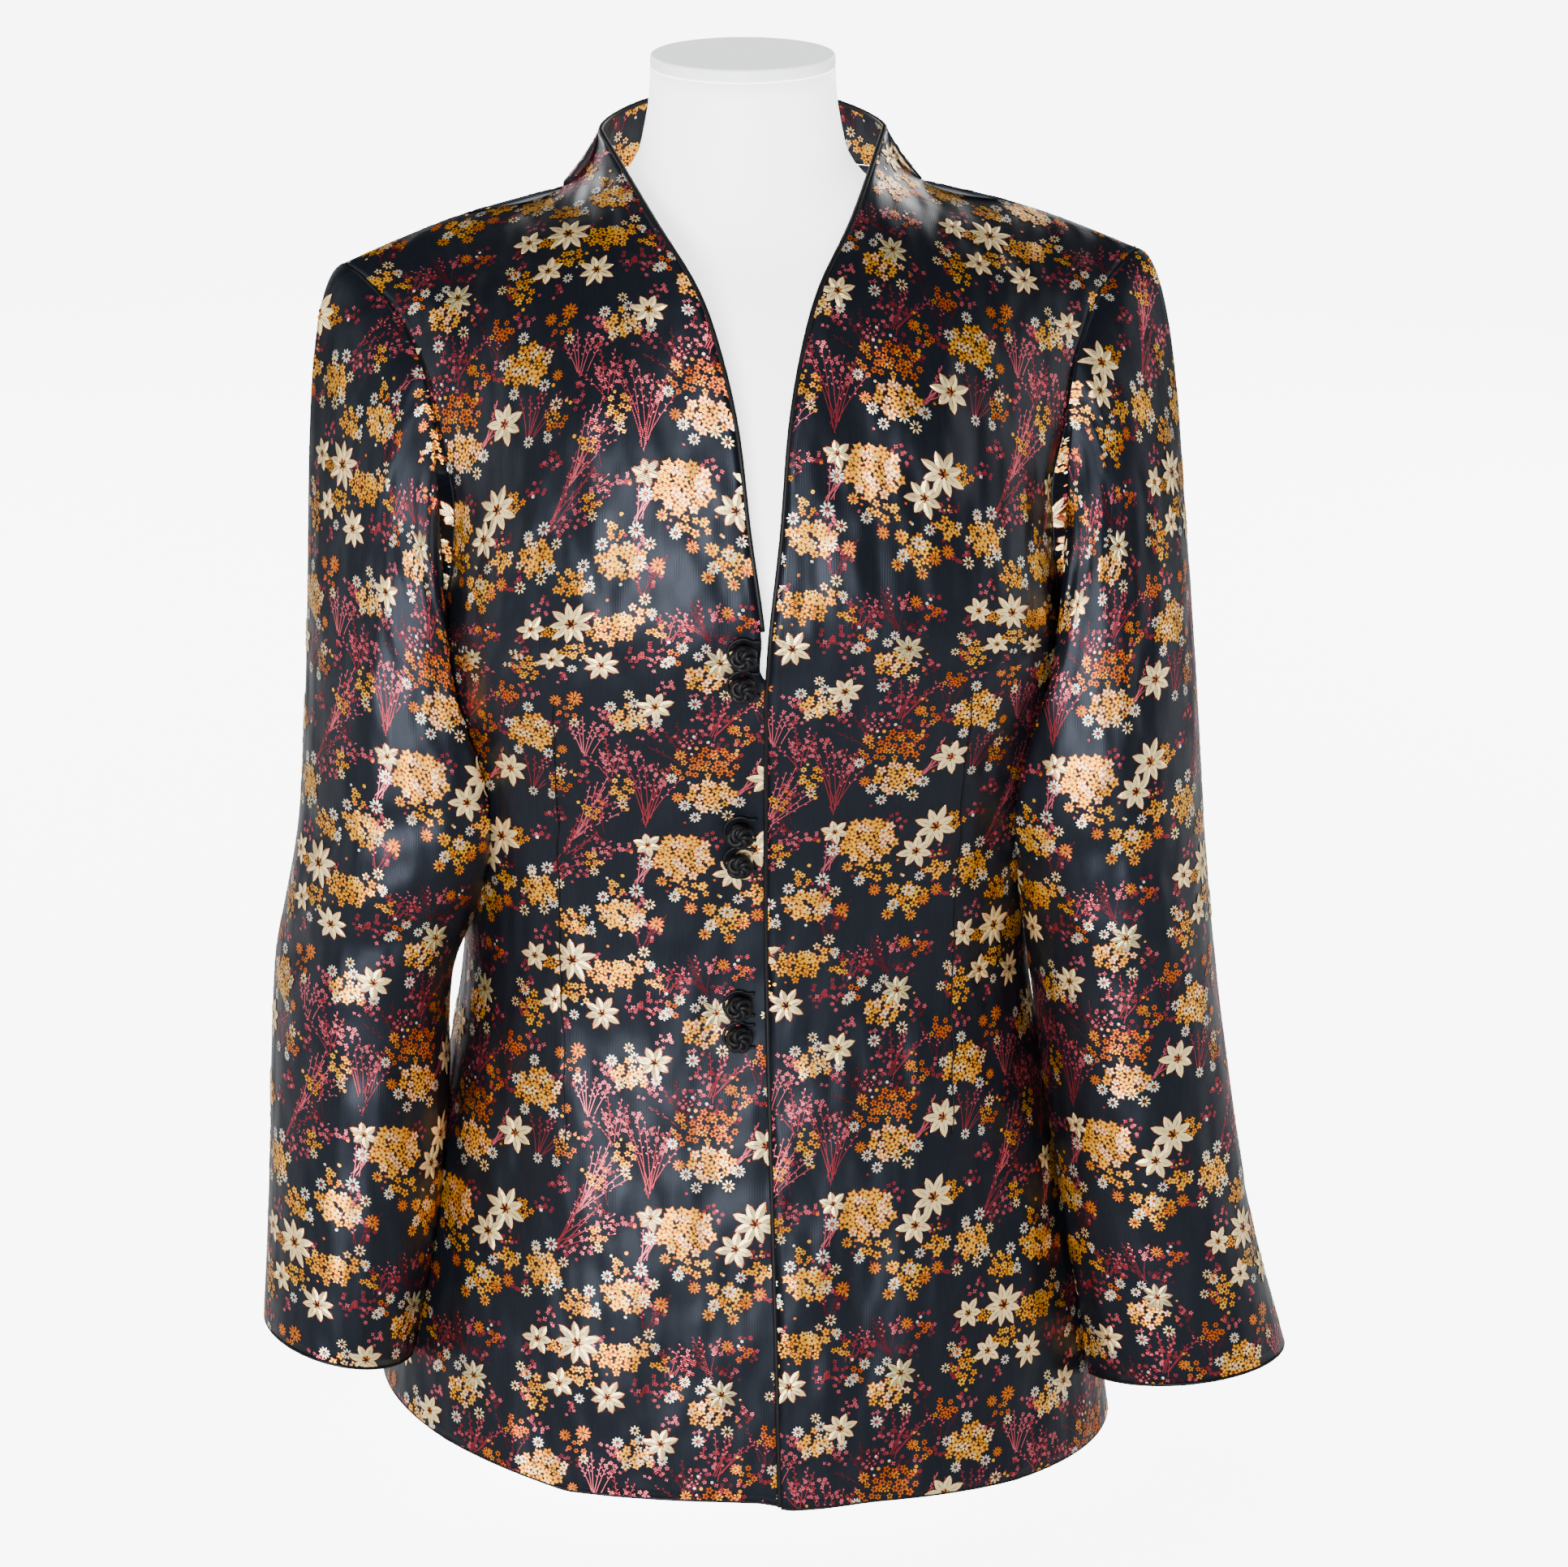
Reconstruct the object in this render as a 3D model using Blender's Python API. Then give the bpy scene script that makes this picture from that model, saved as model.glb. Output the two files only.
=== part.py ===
"""A woman's brocade tang jacket, closed by knot buttons, on a limbless dress form.

The jacket's front faces -Y, the wearer's left side is +X, and the form's flat base rests on z = 0.
The cloth is cut as two fronts with a grown-on stand collar, a back, a back collar and two sleeves.
Every cloth piece is one wall, lofted through the sections in the tables below.
"""

from collections import namedtuple
from math import acos, asin, cos, pi, radians, sin

import bmesh
import bpy
import numpy as np
from mathutils import Vector

# ---- driving sizes, in metres ------------------------------------------------------------------
WALL = 0.0016  # brocade and lining, pressed together
SEAM_GAP = 0.0003  # between two pieces that are sewn together
LAP_LIFT = 0.0024  # how far the lapping front rises over the one beneath it
LAP_UNDER = 0.013  # how far the under front runs on beneath the lapping one
PIPING_RADIUS = 0.0013  # satin piping on the fronts and the neck
EDGE_PIPING_RADIUS = 0.0009  # finer piping on the hem and the cuffs
BUTTON_RADIUS = 0.0068
BUTTON_HALF_HEIGHT = 0.0052
BUTTON_X = -0.0115
BUTTON_HEIGHTS = (0.4705, 0.4540, 0.3740, 0.3575, 0.2790, 0.2625)
LOOP_RADIUS = 0.0072  # from the middle of the button to the middle of its loop's cord
LOOP_CORD_RADIUS = 0.0008
COLLAR_FOOT = (0.088, 0.669)  # where the shoulder seam turns up into the collar: x and z
COLLAR_TOP_SIDE = (0.0705, 0.695)
COLLAR_TOP_BACK = (0.066, 0.703)  # y and z of the collar's top at the centre back
NECK_BACK = (0.0695, 0.6645)  # y and z of the back neckline at the centre
SHOULDER_MIDDLE = (0.139, 0.6555)
SHOULDER_POINT = (0.1950, 0.633)
NECK_RADIUS = 0.0450
NECK_TOP = 0.7262
CAP_THICKNESS = 0.0065

FRONT_COLUMNS = 14
BACK_COLUMNS = 12  # on each side of the centre back
SLEEVE_AROUND = 24
FORM_AROUND = 36

# ---- the jacket's body, from the hem to the bust -----------------------------------------------
Section = namedtuple("Section", "height half_width front back squareness")
BODY = (
    Section(0.015, 0.1900, 0.124, 0.120, 2.4),  # hem
    Section(0.080, 0.1800, 0.120, 0.117, 2.5),
    Section(0.150, 0.1670, 0.113, 0.108, 2.5),
    Section(0.215, 0.1530, 0.106, 0.098, 2.5),
    Section(0.280, 0.1430, 0.101, 0.089, 2.5),  # waist
    Section(0.335, 0.1440, 0.105, 0.087, 2.6),
    Section(0.390, 0.1500, 0.117, 0.090, 2.8),
    Section(0.448, 0.1570, 0.132, 0.096, 3.0),  # underarm
    Section(0.476, 0.1540, 0.137, 0.099, 3.0),
    Section(0.530, 0.1530, 0.131, 0.104, 2.8),
)
LOWER_HEIGHTS = (0.015, 0.05, 0.08, 0.115, 0.15, 0.185, 0.22, 0.25, 0.28, 0.31, 0.34, 0.37, 0.40, 0.425, 0.448)
Cut = namedtuple("Cut", "height edge_x armhole_depth")  # a section that the armhole cuts short
FRONT_CUTS = (
    Cut(0.4565, 0.0015, 0.026),
    Cut(0.4760, 0.0025, 0.055),  # foot of the V
    Cut(0.5290, 0.0090, 0.064),
)
BACK_CUTS = (Cut(0.4565, 0.0, 0.018), Cut(0.4800, 0.0, 0.039), Cut(0.5300, 0.0, 0.051))

# ---- from the bust to the shoulder: each row runs edge, middle, armhole -------------------------
Row = namedtuple("Row", "edge_x edge_y edge_z mid_x mid_y mid_z arm_x arm_y arm_z")
FRONT_ROWS = (
    Row(0.0140, -0.1200, 0.577, 0.100, -0.102, 0.569, 0.1520, -0.060, 0.560),
    Row(0.0210, -0.1070, 0.610, 0.095, -0.090, 0.602, 0.1590, -0.049, 0.592),
    Row(0.0300, -0.0940, 0.636, 0.090, -0.074, 0.631, 0.1700, -0.030, 0.614),
    Row(0.0480, -0.0680, 0.664, 0.088, -0.046, 0.656, 0.1840, -0.012, 0.627),
)
BACK_ROWS = (
    Row(0.0, 0.104, 0.580, 0.108, 0.088, 0.575, 0.1540, 0.056, 0.570),
    Row(0.0, 0.097, 0.618, 0.100, 0.078, 0.612, 0.1630, 0.045, 0.602),
    Row(0.0, 0.086, 0.645, 0.088, 0.060, 0.641, 0.1770, 0.025, 0.620),
)

# ---- the sleeves, from the upper arm to the cuff ------------------------------------------------
Ring = namedtuple("Ring", "height outer inner half_depth forward tilt")
SLEEVES = {
    "left": (  # the wearer's left arm hangs almost straight
        Ring(0.440, 0.220, 0.128, 0.062, 0.032, 0.50),
        Ring(0.390, 0.224, 0.130, 0.062, 0.038, 0.35),
        Ring(0.340, 0.228, 0.143, 0.060, 0.039, 0.24),
        Ring(0.290, 0.233, 0.153, 0.057, 0.040, 0.18),
        Ring(0.220, 0.242, 0.162, 0.053, 0.042, 0.14),
        Ring(0.140, 0.255, 0.172, 0.049, 0.045, 0.12),
        Ring(0.062, 0.276, 0.184, 0.043, 0.048, 0.08),
    ),
    "right": (  # the wearer's right arm bends at the elbow, which lifts its cuff
        Ring(0.440, 0.218, 0.128, 0.062, 0.022, 0.50),
        Ring(0.390, 0.221, 0.127, 0.062, 0.028, 0.35),
        Ring(0.340, 0.226, 0.142, 0.060, 0.028, 0.24),
        Ring(0.290, 0.236, 0.161, 0.056, 0.026, 0.18),
        Ring(0.220, 0.242, 0.166, 0.053, 0.032, 0.16),
        Ring(0.150, 0.246, 0.173, 0.050, 0.040, 0.20),
        Ring(0.089, 0.250, 0.184, 0.047, 0.045, 0.24),
    ),
}
BODY_CLEARANCE = 0.0030  # between a sleeve and the body that it hangs against

# ---- how far the hem rises above its lowest point, across the jacket -----------------------------
HemPoint = namedtuple("HemPoint", "x rise")
HEM = (
    HemPoint(-0.190, 0.036),  # the wearer's right side seam
    HemPoint(-0.160, 0.026),
    HemPoint(-0.100, 0.010),
    HemPoint(-0.020, 0.0060),
    HemPoint(0.000, 0.0045),
    HemPoint(0.012, 0.0010),
    HemPoint(0.060, 0.0020),
    HemPoint(0.130, 0.0010),
    HemPoint(0.190, 0.0040),  # the wearer's left side seam
)
HEM_RISE_UP_TO = 0.150  # height where the rise has died away

# ---- the dress form ------------------------------------------------------------------------------
FORM = (
    Section(0.0000, 0.108, 0.057, 0.060, 2.2),  # flat base, which the torso rounds in to
    Section(0.0200, 0.128, 0.074, 0.076, 2.3),
    Section(0.0500, 0.143, 0.090, 0.090, 2.3),
    Section(0.1300, 0.145, 0.094, 0.092, 2.4),
    Section(0.2000, 0.136, 0.091, 0.085, 2.4),
    Section(0.2800, 0.129, 0.088, 0.078, 2.4),  # waist
    Section(0.3500, 0.133, 0.095, 0.077, 2.5),
    Section(0.4200, 0.141, 0.111, 0.083, 2.6),
    Section(0.4700, 0.143, 0.120, 0.090, 2.6),  # bust
    Section(0.5200, 0.142, 0.115, 0.095, 2.5),
    Section(0.5650, 0.145, 0.103, 0.095, 2.4),
    Section(0.6000, 0.149, 0.088, 0.088, 2.3),
    Section(0.6220, 0.146, 0.073, 0.078, 2.2),
    Section(0.6380, 0.132, 0.058, 0.066, 2.1),
    Section(0.6500, 0.104, 0.050, 0.057, 2.0),
    Section(0.6620, 0.074, 0.047, 0.053, 2.0),
    Section(0.6780, 0.055, 0.046, 0.050, 2.0),
    Section(0.6980, 0.048, 0.046, 0.048, 2.0),  # neck
    Section(NECK_TOP, NECK_RADIUS, NECK_RADIUS, NECK_RADIUS, 2.0),
)
FORM_HEIGHTS = (
    0.0, 0.01, 0.02, 0.033, 0.05, 0.07, 0.095, 0.13, 0.165, 0.2, 0.24, 0.28, 0.315, 0.35, 0.385, 0.42, 0.445, 0.47, 0.495,
    0.52, 0.545, 0.565, 0.585, 0.6, 0.612, 0.622, 0.631, 0.638, 0.6445, 0.65, 0.656, 0.662, 0.67, 0.678,
    0.688, 0.698, 0.711, NECK_TOP,
)


def smooth(keys, values, at):
    """Reads a smooth curve that passes through values, one row for each rising key, at other keys."""
    keys, values, at = (np.asarray(part, float) for part in (keys, values, at))
    step = np.diff(keys)
    slope = np.diff(values, axis=0) / step.reshape(-1, *[1] * (values.ndim - 1))
    tangent = np.empty_like(values)
    for i in range(1, len(keys) - 1):
        share = step[i - 1] / (step[i - 1] + step[i])
        tangent[i] = slope[i - 1] * (1 - share) + slope[i] * share
    tangent[0] = 1.5 * slope[0] - 0.5 * tangent[1]
    tangent[-1] = 1.5 * slope[-1] - 0.5 * tangent[-2]
    span = np.clip(np.searchsorted(keys, at, "right") - 1, 0, len(keys) - 2)
    shape = (-1, *[1] * (values.ndim - 1))
    t = ((at - keys[span]) / step[span]).reshape(shape)
    width = step[span].reshape(shape)
    start, end = values[span], values[span + 1]
    return (
        (2 * t**3 - 3 * t**2 + 1) * start
        + (t**3 - 2 * t**2 + t) * width * tangent[span]
        + (3 * t**2 - 2 * t**3) * end
        + (t**3 - t**2) * width * tangent[span + 1]
    )


def lengths_along(points):
    """The distance from the first point to each point, along the line through them."""
    steps = np.linalg.norm(np.diff(points, axis=0), axis=1)
    return np.concatenate([[0.0], np.cumsum(steps)])


def evenly(points, count):
    """The same line, with count points spaced evenly along it."""
    points = np.asarray(points, float)
    along = lengths_along(points)
    wanted = np.linspace(0, along[-1], count)
    return np.stack([np.interp(wanted, along, points[:, axis]) for axis in range(3)], axis=1)


def unit(vectors):
    return vectors / np.maximum(np.linalg.norm(vectors, axis=-1, keepdims=True), 1e-12)


def body_section(height, table=BODY):
    columns = [(row.half_width, row.front, row.back, row.squareness) for row in table]
    return smooth([row.height for row in table], columns, [height])[0]


def side_of_body(y, z):
    """The body's half width at depth y and height z, on its outer face."""
    half_width, front, back, power = body_section(z)
    depth = abs(y) / (front if y < 0 else back)
    return half_width * max(0.0, 1 - depth**power) ** (1 / power)


def quarter(height, start_x, front, stop_depth=0.0):
    """One section of the body from x = start_x round to the side seam, or to where its depth falls to
    stop_depth at the armhole, on the front or the back."""
    half_width, depth_front, depth_back, power = body_section(height)
    depth = -depth_front if front else depth_back
    first = np.sign(start_x) * asin(min(1.0, abs(start_x) / half_width) ** (power / 2))
    angles = np.linspace(first, acos((stop_depth / abs(depth)) ** (power / 2)), 60)
    x = half_width * np.sign(angles) * np.abs(np.sin(angles)) ** (2 / power)
    y = depth * np.abs(np.cos(angles)) ** (2 / power)
    y += np.sign(depth) * SEAM_GAP / 2
    return np.stack([x, y, np.full(len(x), height)], axis=1)


def row_line(row):
    """A smooth line through a row's edge, middle and armhole points."""
    points = np.array(row).reshape(3, 3)
    along = lengths_along(points)
    return smooth(along, points, np.linspace(0, along[-1], 60))


def front_edge_x(height, lapping):
    """Where a front ends, below the foot of the V. The lapping edge drifts out a little to the hem."""
    over = 0.0010 + 0.016 * max(0.0, 0.45 - height)
    return over if lapping else -over - LAP_UNDER * min(1.0, (0.476 - height) / 0.05)


def shoulder_line(front):
    """The shoulder seam from the collar's foot to the shoulder point, with the collar's own end seam
    before it on the front."""
    y = -SEAM_GAP / 2 if front else SEAM_GAP / 2
    foot = (COLLAR_FOOT[0], y, COLLAR_FOOT[1])
    end = (SHOULDER_POINT[0], y, SHOULDER_POINT[1])
    points = [foot, SHOULDER_MIDDLE[:1] + (y,) + SHOULDER_MIDDLE[1:], end]
    if front:
        points = [(COLLAR_TOP_SIDE[0], y, COLLAR_TOP_SIDE[1]), (0.0765, y, 0.6795)] + points
    points = np.array(points)
    along = lengths_along(points)
    return smooth(along, points, np.linspace(0, along[-1], 60))


def back_neckline():
    """From the centre back to the collar's foot, on the wearer's left."""
    angles = np.linspace(0, pi / 2, 30)
    x = COLLAR_FOOT[0] * np.sin(angles)
    y = NECK_BACK[0] * np.cos(angles) + SEAM_GAP / 2
    z = NECK_BACK[1] + (COLLAR_FOOT[1] - NECK_BACK[1]) * np.sin(angles) ** 2
    return np.stack([x, y, z], axis=1)


def between_rows(rows, lower_count, per_row):
    """Fills in a panel between its rows. The underarm row is a corner at the side seam, so the outer
    columns are worked out separately above and below it."""
    keys = np.concatenate([[0], np.cumsum(np.linalg.norm(np.diff(rows, axis=0), axis=2).mean(axis=1))])
    at = list(keys[:lower_count])
    for k in range(lower_count - 1, len(keys) - 1):
        count = per_row[k - lower_count + 1]
        at += list(keys[k] + (keys[k + 1] - keys[k]) * np.arange(1, count + 1) / count)
    at = np.array(at)
    whole = smooth(keys, rows, at)
    corner = keys[lower_count - 1]
    below, above = at <= corner, at > corner
    apart = np.concatenate([
        smooth(keys[:lower_count], rows[:lower_count], at[below]),
        smooth(keys[lower_count - 1:], rows[lower_count - 1:], at[above]),
    ])
    share = np.clip((np.linspace(0, 1, rows.shape[1]) - 0.45) / 0.4, 0, 1)
    share = (share * share * (3 - 2 * share)).reshape(1, -1, 1)
    return whole * (1 - share) + apart * share


def raised_hem(grid):
    """The same panel, with its hem raised as the HEM table says."""
    rise = np.interp(grid[:, :, 0], [point.x for point in HEM], [point.rise for point in HEM])
    left_over = (HEM_RISE_UP_TO - grid[:, :, 2]) / (HEM_RISE_UP_TO - LOWER_HEIGHTS[0])
    raised = grid.copy()
    raised[:, :, 2] += rise * np.clip(left_over, 0, 1)
    return raised


def front_grid(lapping):
    """The outer face of a front, on the +X side: rows from hem to shoulder, columns from the edge."""
    rows = [quarter(z, front_edge_x(z, lapping), True) for z in LOWER_HEIGHTS]
    rows += [quarter(cut.height, cut.edge_x, True, cut.armhole_depth) for cut in FRONT_CUTS]
    rows += [row_line(row) for row in FRONT_ROWS]
    rows.append(shoulder_line(True))
    rows = np.array([evenly(row, FRONT_COLUMNS) for row in rows])
    grid = between_rows(rows, len(LOWER_HEIGHTS), (1, 1, 2, 2, 1, 2, 2, 4))
    if lapping:
        near = np.clip((0.055 - grid[:, :, 0]) / 0.030, 0, 1)
        low = np.clip((0.530 - grid[:, :, 2]) / 0.054, 0, 1)
        grid[:, :, 1] -= LAP_LIFT * near * near * (3 - 2 * near) * low
        return raised_hem(grid)
    return raised_hem(grid * (-1, 1, 1)) * (-1, 1, 1)


def back_grid():
    """The outer face of the back, from the wearer's left side seam to the right one."""
    rows = [quarter(z, 0.0, False) for z in LOWER_HEIGHTS]
    rows += [quarter(cut.height, cut.edge_x, False, cut.armhole_depth) for cut in BACK_CUTS]
    rows += [row_line(row) for row in BACK_ROWS]
    half = [evenly(row, BACK_COLUMNS + 1) for row in rows]
    middle = BACK_COLUMNS // 2
    neck = evenly(back_neckline(), middle + 1)
    half.append(np.concatenate([neck[:-1], evenly(shoulder_line(False), BACK_COLUMNS + 1 - middle)]))
    grid = between_rows(np.array(half), len(LOWER_HEIGHTS), (1, 1, 2, 1, 1, 1, 3))
    mirrored = grid[:, :0:-1] * (-1, 1, 1)
    whole = np.concatenate([mirrored, grid], axis=1)[:, ::-1]
    return raised_hem(whole)


def collar_grid():
    """The back collar, a stand from the neckline to its top edge, from the wearer's left to right."""
    neck = back_neckline()
    neck[:, 1] += SEAM_GAP / 2
    neck[:, 2] += 3 * SEAM_GAP
    neck = evenly(neck, 9)
    angles = np.linspace(0, pi / 2, 60)
    top = np.stack([
        COLLAR_TOP_SIDE[0] * np.sin(angles),
        COLLAR_TOP_BACK[0] * np.cos(angles) + SEAM_GAP,
        COLLAR_TOP_BACK[1] + (COLLAR_TOP_SIDE[1] - COLLAR_TOP_BACK[1]) * np.sin(angles) ** 2,
    ], axis=1)
    top = evenly(top, 9)
    middle = 0.55 * neck + 0.45 * top
    middle[:, :2] *= 0.985  # the stand is a little hollow between foot and top
    half = np.array([neck, middle, top])
    mirrored = half[:, :0:-1] * (-1, 1, 1)
    return np.concatenate([mirrored, half], axis=1)[:, ::-1]


def armhole(front, back):
    """The closed line of the armhole: shoulder point, down the front, underarm and up the back."""
    count = SLEEVE_AROUND // 2
    front_side = evenly(front[len(LOWER_HEIGHTS) - 1:, -1][::-1], count + 1)
    back_side = evenly(back[len(LOWER_HEIGHTS) - 1:, 0], count + 1)
    return np.concatenate([front_side[:-1], back_side[:-1]])


def sleeve_grid(rings, hole, hem_rise):
    """The outer face of a sleeve on the +X side: its cap grows out of the armhole, then its rings. It
    stays clear of the body beside it, whose side seam the hem raises by hem_rise."""
    angles = 2 * pi * np.arange(SLEEVE_AROUND) / SLEEVE_AROUND
    sections = []
    for ring in rings:
        half_width = (ring.outer - ring.inner) / 1.707
        centre = ring.outer - half_width
        x = centre + half_width * np.cos(angles)
        y = -ring.forward - ring.half_depth * np.sin(angles)
        z = ring.height + ring.tilt * (x - centre)
        sections.append(np.stack([x, y, z], axis=1))
    sections = np.array(sections)
    keys = [-ring.height for ring in rings]
    tube = smooth(keys, sections, np.linspace(keys[0], keys[-1], 13))
    start = hole + (2 * SEAM_GAP, 0, 0)
    reach = np.linalg.norm(tube[0] - start, axis=1, keepdims=True)
    low = ((1 - np.cos(angles)) / 2).reshape(-1, 1)
    ahead = np.sin(angles).reshape(-1, 1)
    outwards = unit(np.concatenate([0.9 + 0 * low, -0.35 * ahead, -0.25 - 0.35 * low], axis=1))
    down = unit(tube[1] - tube[0])
    cap = []
    for t in (0.0, 0.12, 0.27, 0.45, 0.65, 0.83):
        cap.append(
            (2 * t**3 - 3 * t**2 + 1) * start
            + (t**3 - 2 * t**2 + t) * outwards * reach * 0.36
            + (3 * t**2 - 2 * t**3) * tube[0]
            + (t**3 - t**2) * down * reach * 1.1
        )
    grid = np.concatenate([cap, tube])
    hem_span = HEM_RISE_UP_TO - LOWER_HEIGHTS[0]
    for point in grid[1:].reshape(-1, 3):
        height = min(point[2], LOWER_HEIGHTS[-1])
        if height < HEM_RISE_UP_TO:
            height = HEM_RISE_UP_TO - (HEM_RISE_UP_TO - height) / (1 - hem_rise / hem_span)
        point[0] = max(point[0], side_of_body(point[1], height) + BODY_CLEARANCE)
    return grid


def normals_of(grid, around=False):
    """The outward normal at each point of a grid, from its neighbours."""
    if around:
        wide = np.roll(grid, -1, axis=1) - np.roll(grid, 1, axis=1)
    else:
        wide = np.gradient(grid, axis=1)
    return unit(np.cross(wide, np.gradient(grid, axis=0)))


def new_object(name, bm, material):
    mesh = bpy.data.meshes.new(name)
    bm.to_mesh(mesh)
    bm.free()
    mesh.shade_smooth()
    mesh.set_sharp_from_angle(angle=radians(50))
    mesh.materials.append(material)
    made = bpy.data.objects.new(name, mesh)
    collection.objects.link(made)
    return made


def cloth(name, outer, material, mirror=False, around=False, seams=()):
    """A closed wall whose outer face is the grid. Its inner face is moved in along the normals, and at
    each named seam it stays in the seam's plane, so that neighbours stay apart."""
    normals = normals_of(outer, around)
    for rows, columns in seams:
        edge = normals[rows, columns]
        edge[..., 1] = 0
        normals[rows, columns] = unit(edge)
    inner = outer - normals * WALL
    if mirror:
        outer, inner = outer * (-1, 1, 1), inner * (-1, 1, 1)
    bm = bmesh.new()
    tall, wide = outer.shape[:2]
    faces = [[[bm.verts.new(point) for point in row] for row in side] for side in (outer, inner)]
    last = wide if around else wide - 1

    def quad(*corners):
        bm.faces.new(corners[::-1] if mirror else corners)

    for i in range(tall - 1):
        for j in range(last):
            k = (j + 1) % wide
            a, b = faces
            quad(a[i][j], a[i][k], a[i + 1][k], a[i + 1][j])
            quad(b[i + 1][j], b[i + 1][k], b[i][k], b[i][j])
        if not around:
            a, b = faces
            quad(a[i + 1][0], b[i + 1][0], b[i][0], a[i][0])
            quad(a[i][-1], b[i][-1], b[i + 1][-1], a[i + 1][-1])
    for j in range(last):
        k = (j + 1) % wide
        a, b = faces
        quad(a[0][k], a[0][j], b[0][j], b[0][k])
        quad(a[-1][j], a[-1][k], b[-1][k], b[-1][j])
    return new_object(name, bm, material)


def beside(grid, edge, radius, away):
    """Points just off a panel's edge, at mid-wall, where a cord or piping of this radius lies."""
    line, normals = grid[edge], normals_of(grid)
    along = unit(np.gradient(line, axis=0))
    across = unit(away - along * (away * along).sum(axis=1, keepdims=True))
    return line + across * (radius + SEAM_GAP) - normals[edge] * WALL / 2


def tube(name, points, radius, material, closed=False, sides=2):
    """A cord along points, as a bevelled curve with filled ends."""
    curve = bpy.data.curves.new(name, "CURVE")
    curve.dimensions = "3D"
    curve.bevel_depth = radius
    curve.bevel_resolution = sides
    curve.use_fill_caps = True
    spline = curve.splines.new("POLY")
    spline.points.add(len(points) - 1)
    for target, point in zip(spline.points, points):
        target.co = (*point, 1)
    spline.use_cyclic_u = closed
    curve.materials.append(material)
    made = bpy.data.objects.new(name, curve)
    collection.objects.link(made)
    return made


def finish(name, colour, roughness, metallic=0.0, sheen=0.0):
    material = bpy.data.materials.new(name)
    material.use_nodes = True
    shader = material.node_tree.nodes["Principled BSDF"]
    shader.inputs["Base Color"].default_value = (*colour, 1)
    shader.inputs["Roughness"].default_value = roughness
    shader.inputs["Metallic"].default_value = metallic
    shader.inputs["Sheen Weight"].default_value = sheen
    return material


def build_cloth():
    """The sewn pieces. It returns the grids that the trims are laid along."""
    left, right, back = front_grid(True), front_grid(False), back_grid()
    collar = collar_grid()
    side_and_shoulder = ((slice(None, len(LOWER_HEIGHTS)), -1), (-1, slice(None)))
    cloth("front_left", left, brocade, seams=side_and_shoulder)
    cloth("front_right", right, brocade, mirror=True, seams=side_and_shoulder)
    both_sides = tuple((slice(None, len(LOWER_HEIGHTS)), column) for column in (0, -1))
    steps = BACK_COLUMNS // 2
    shoulders = ((-1, slice(None, steps + 1)), (-1, slice(-steps - 1, None)))
    cloth("back", back, brocade, seams=both_sides + shoulders)
    cloth("back_collar", collar, brocade, seams=((slice(None), 0), (slice(None), -1)))
    grids = {"left": left, "right": right, "back": back, "collar": collar}
    for side, front, hem in (("left", left, HEM[-1]), ("right", right, HEM[0])):
        hole = armhole(front, back)
        grids["sleeve_" + side] = sleeve_grid(SLEEVES[side], hole, hem.rise)
        cloth("sleeve_" + side, grids["sleeve_" + side], brocade, mirror=side == "right", around=True)
    return grids


def build_piping(grids):
    left, right, collar = grids["left"], grids["right"], grids["collar"]
    out_left, out_right = left[:, 0] - left[:, 1], right[:, 0] - right[:, 1]
    up_left = beside(left, np.s_[:, 0], PIPING_RADIUS, out_left)
    down_right = beside(right, np.s_[:, 0], PIPING_RADIUS, out_right) * (-1, 1, 1)
    down_right = down_right[len(LOWER_HEIGHTS) + 1:][::-1]
    across = beside(collar, np.s_[-1, :], PIPING_RADIUS, collar[-1] - collar[-2])[1:-1]
    tube("front_piping", np.concatenate([up_left, across, down_right]), PIPING_RADIUS, satin)
    hem = [
        beside(grid, np.s_[0, :], EDGE_PIPING_RADIUS, grid[0] - grid[1])
        for grid in (left, grids["back"], right)
    ]
    hem[2] = hem[2][::-1] * (-1, 1, 1)
    hem_line = np.concatenate([hem[0], hem[1][1:-1], hem[2]])
    tube("hem_piping", hem_line, EDGE_PIPING_RADIUS, satin, sides=1)
    for side in ("left", "right"):
        grid = grids["sleeve_" + side]
        inwards = normals_of(grid, around=True)[-1] * WALL / 2
        off = unit(grid[-1] - grid[-2]) * (EDGE_PIPING_RADIUS + SEAM_GAP)
        ring = (grid[-1] + off - inwards) * ((1, 1, 1) if side == "left" else (-1, 1, 1))
        tube("cuff_piping_" + side, ring, EDGE_PIPING_RADIUS, satin, closed=True, sides=1)


def on_under_front(grid, x, height):
    """The point and the outward normal of the right front at this height, x being negative."""
    normals = normals_of(grid)
    crossed = np.array([
        [np.interp(height, column[:, 2], column[:, axis]) for axis in (0, 1, 3, 4, 5)]
        for column in np.concatenate([grid, normals], axis=2).transpose(1, 0, 2)
    ])
    y, *normal = (np.interp(-x, crossed[:, 0], crossed[:, k]) for k in range(1, 5))
    return np.array([x, y, height]), unit(np.array(normal)) * (-1, 1, 1)


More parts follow.
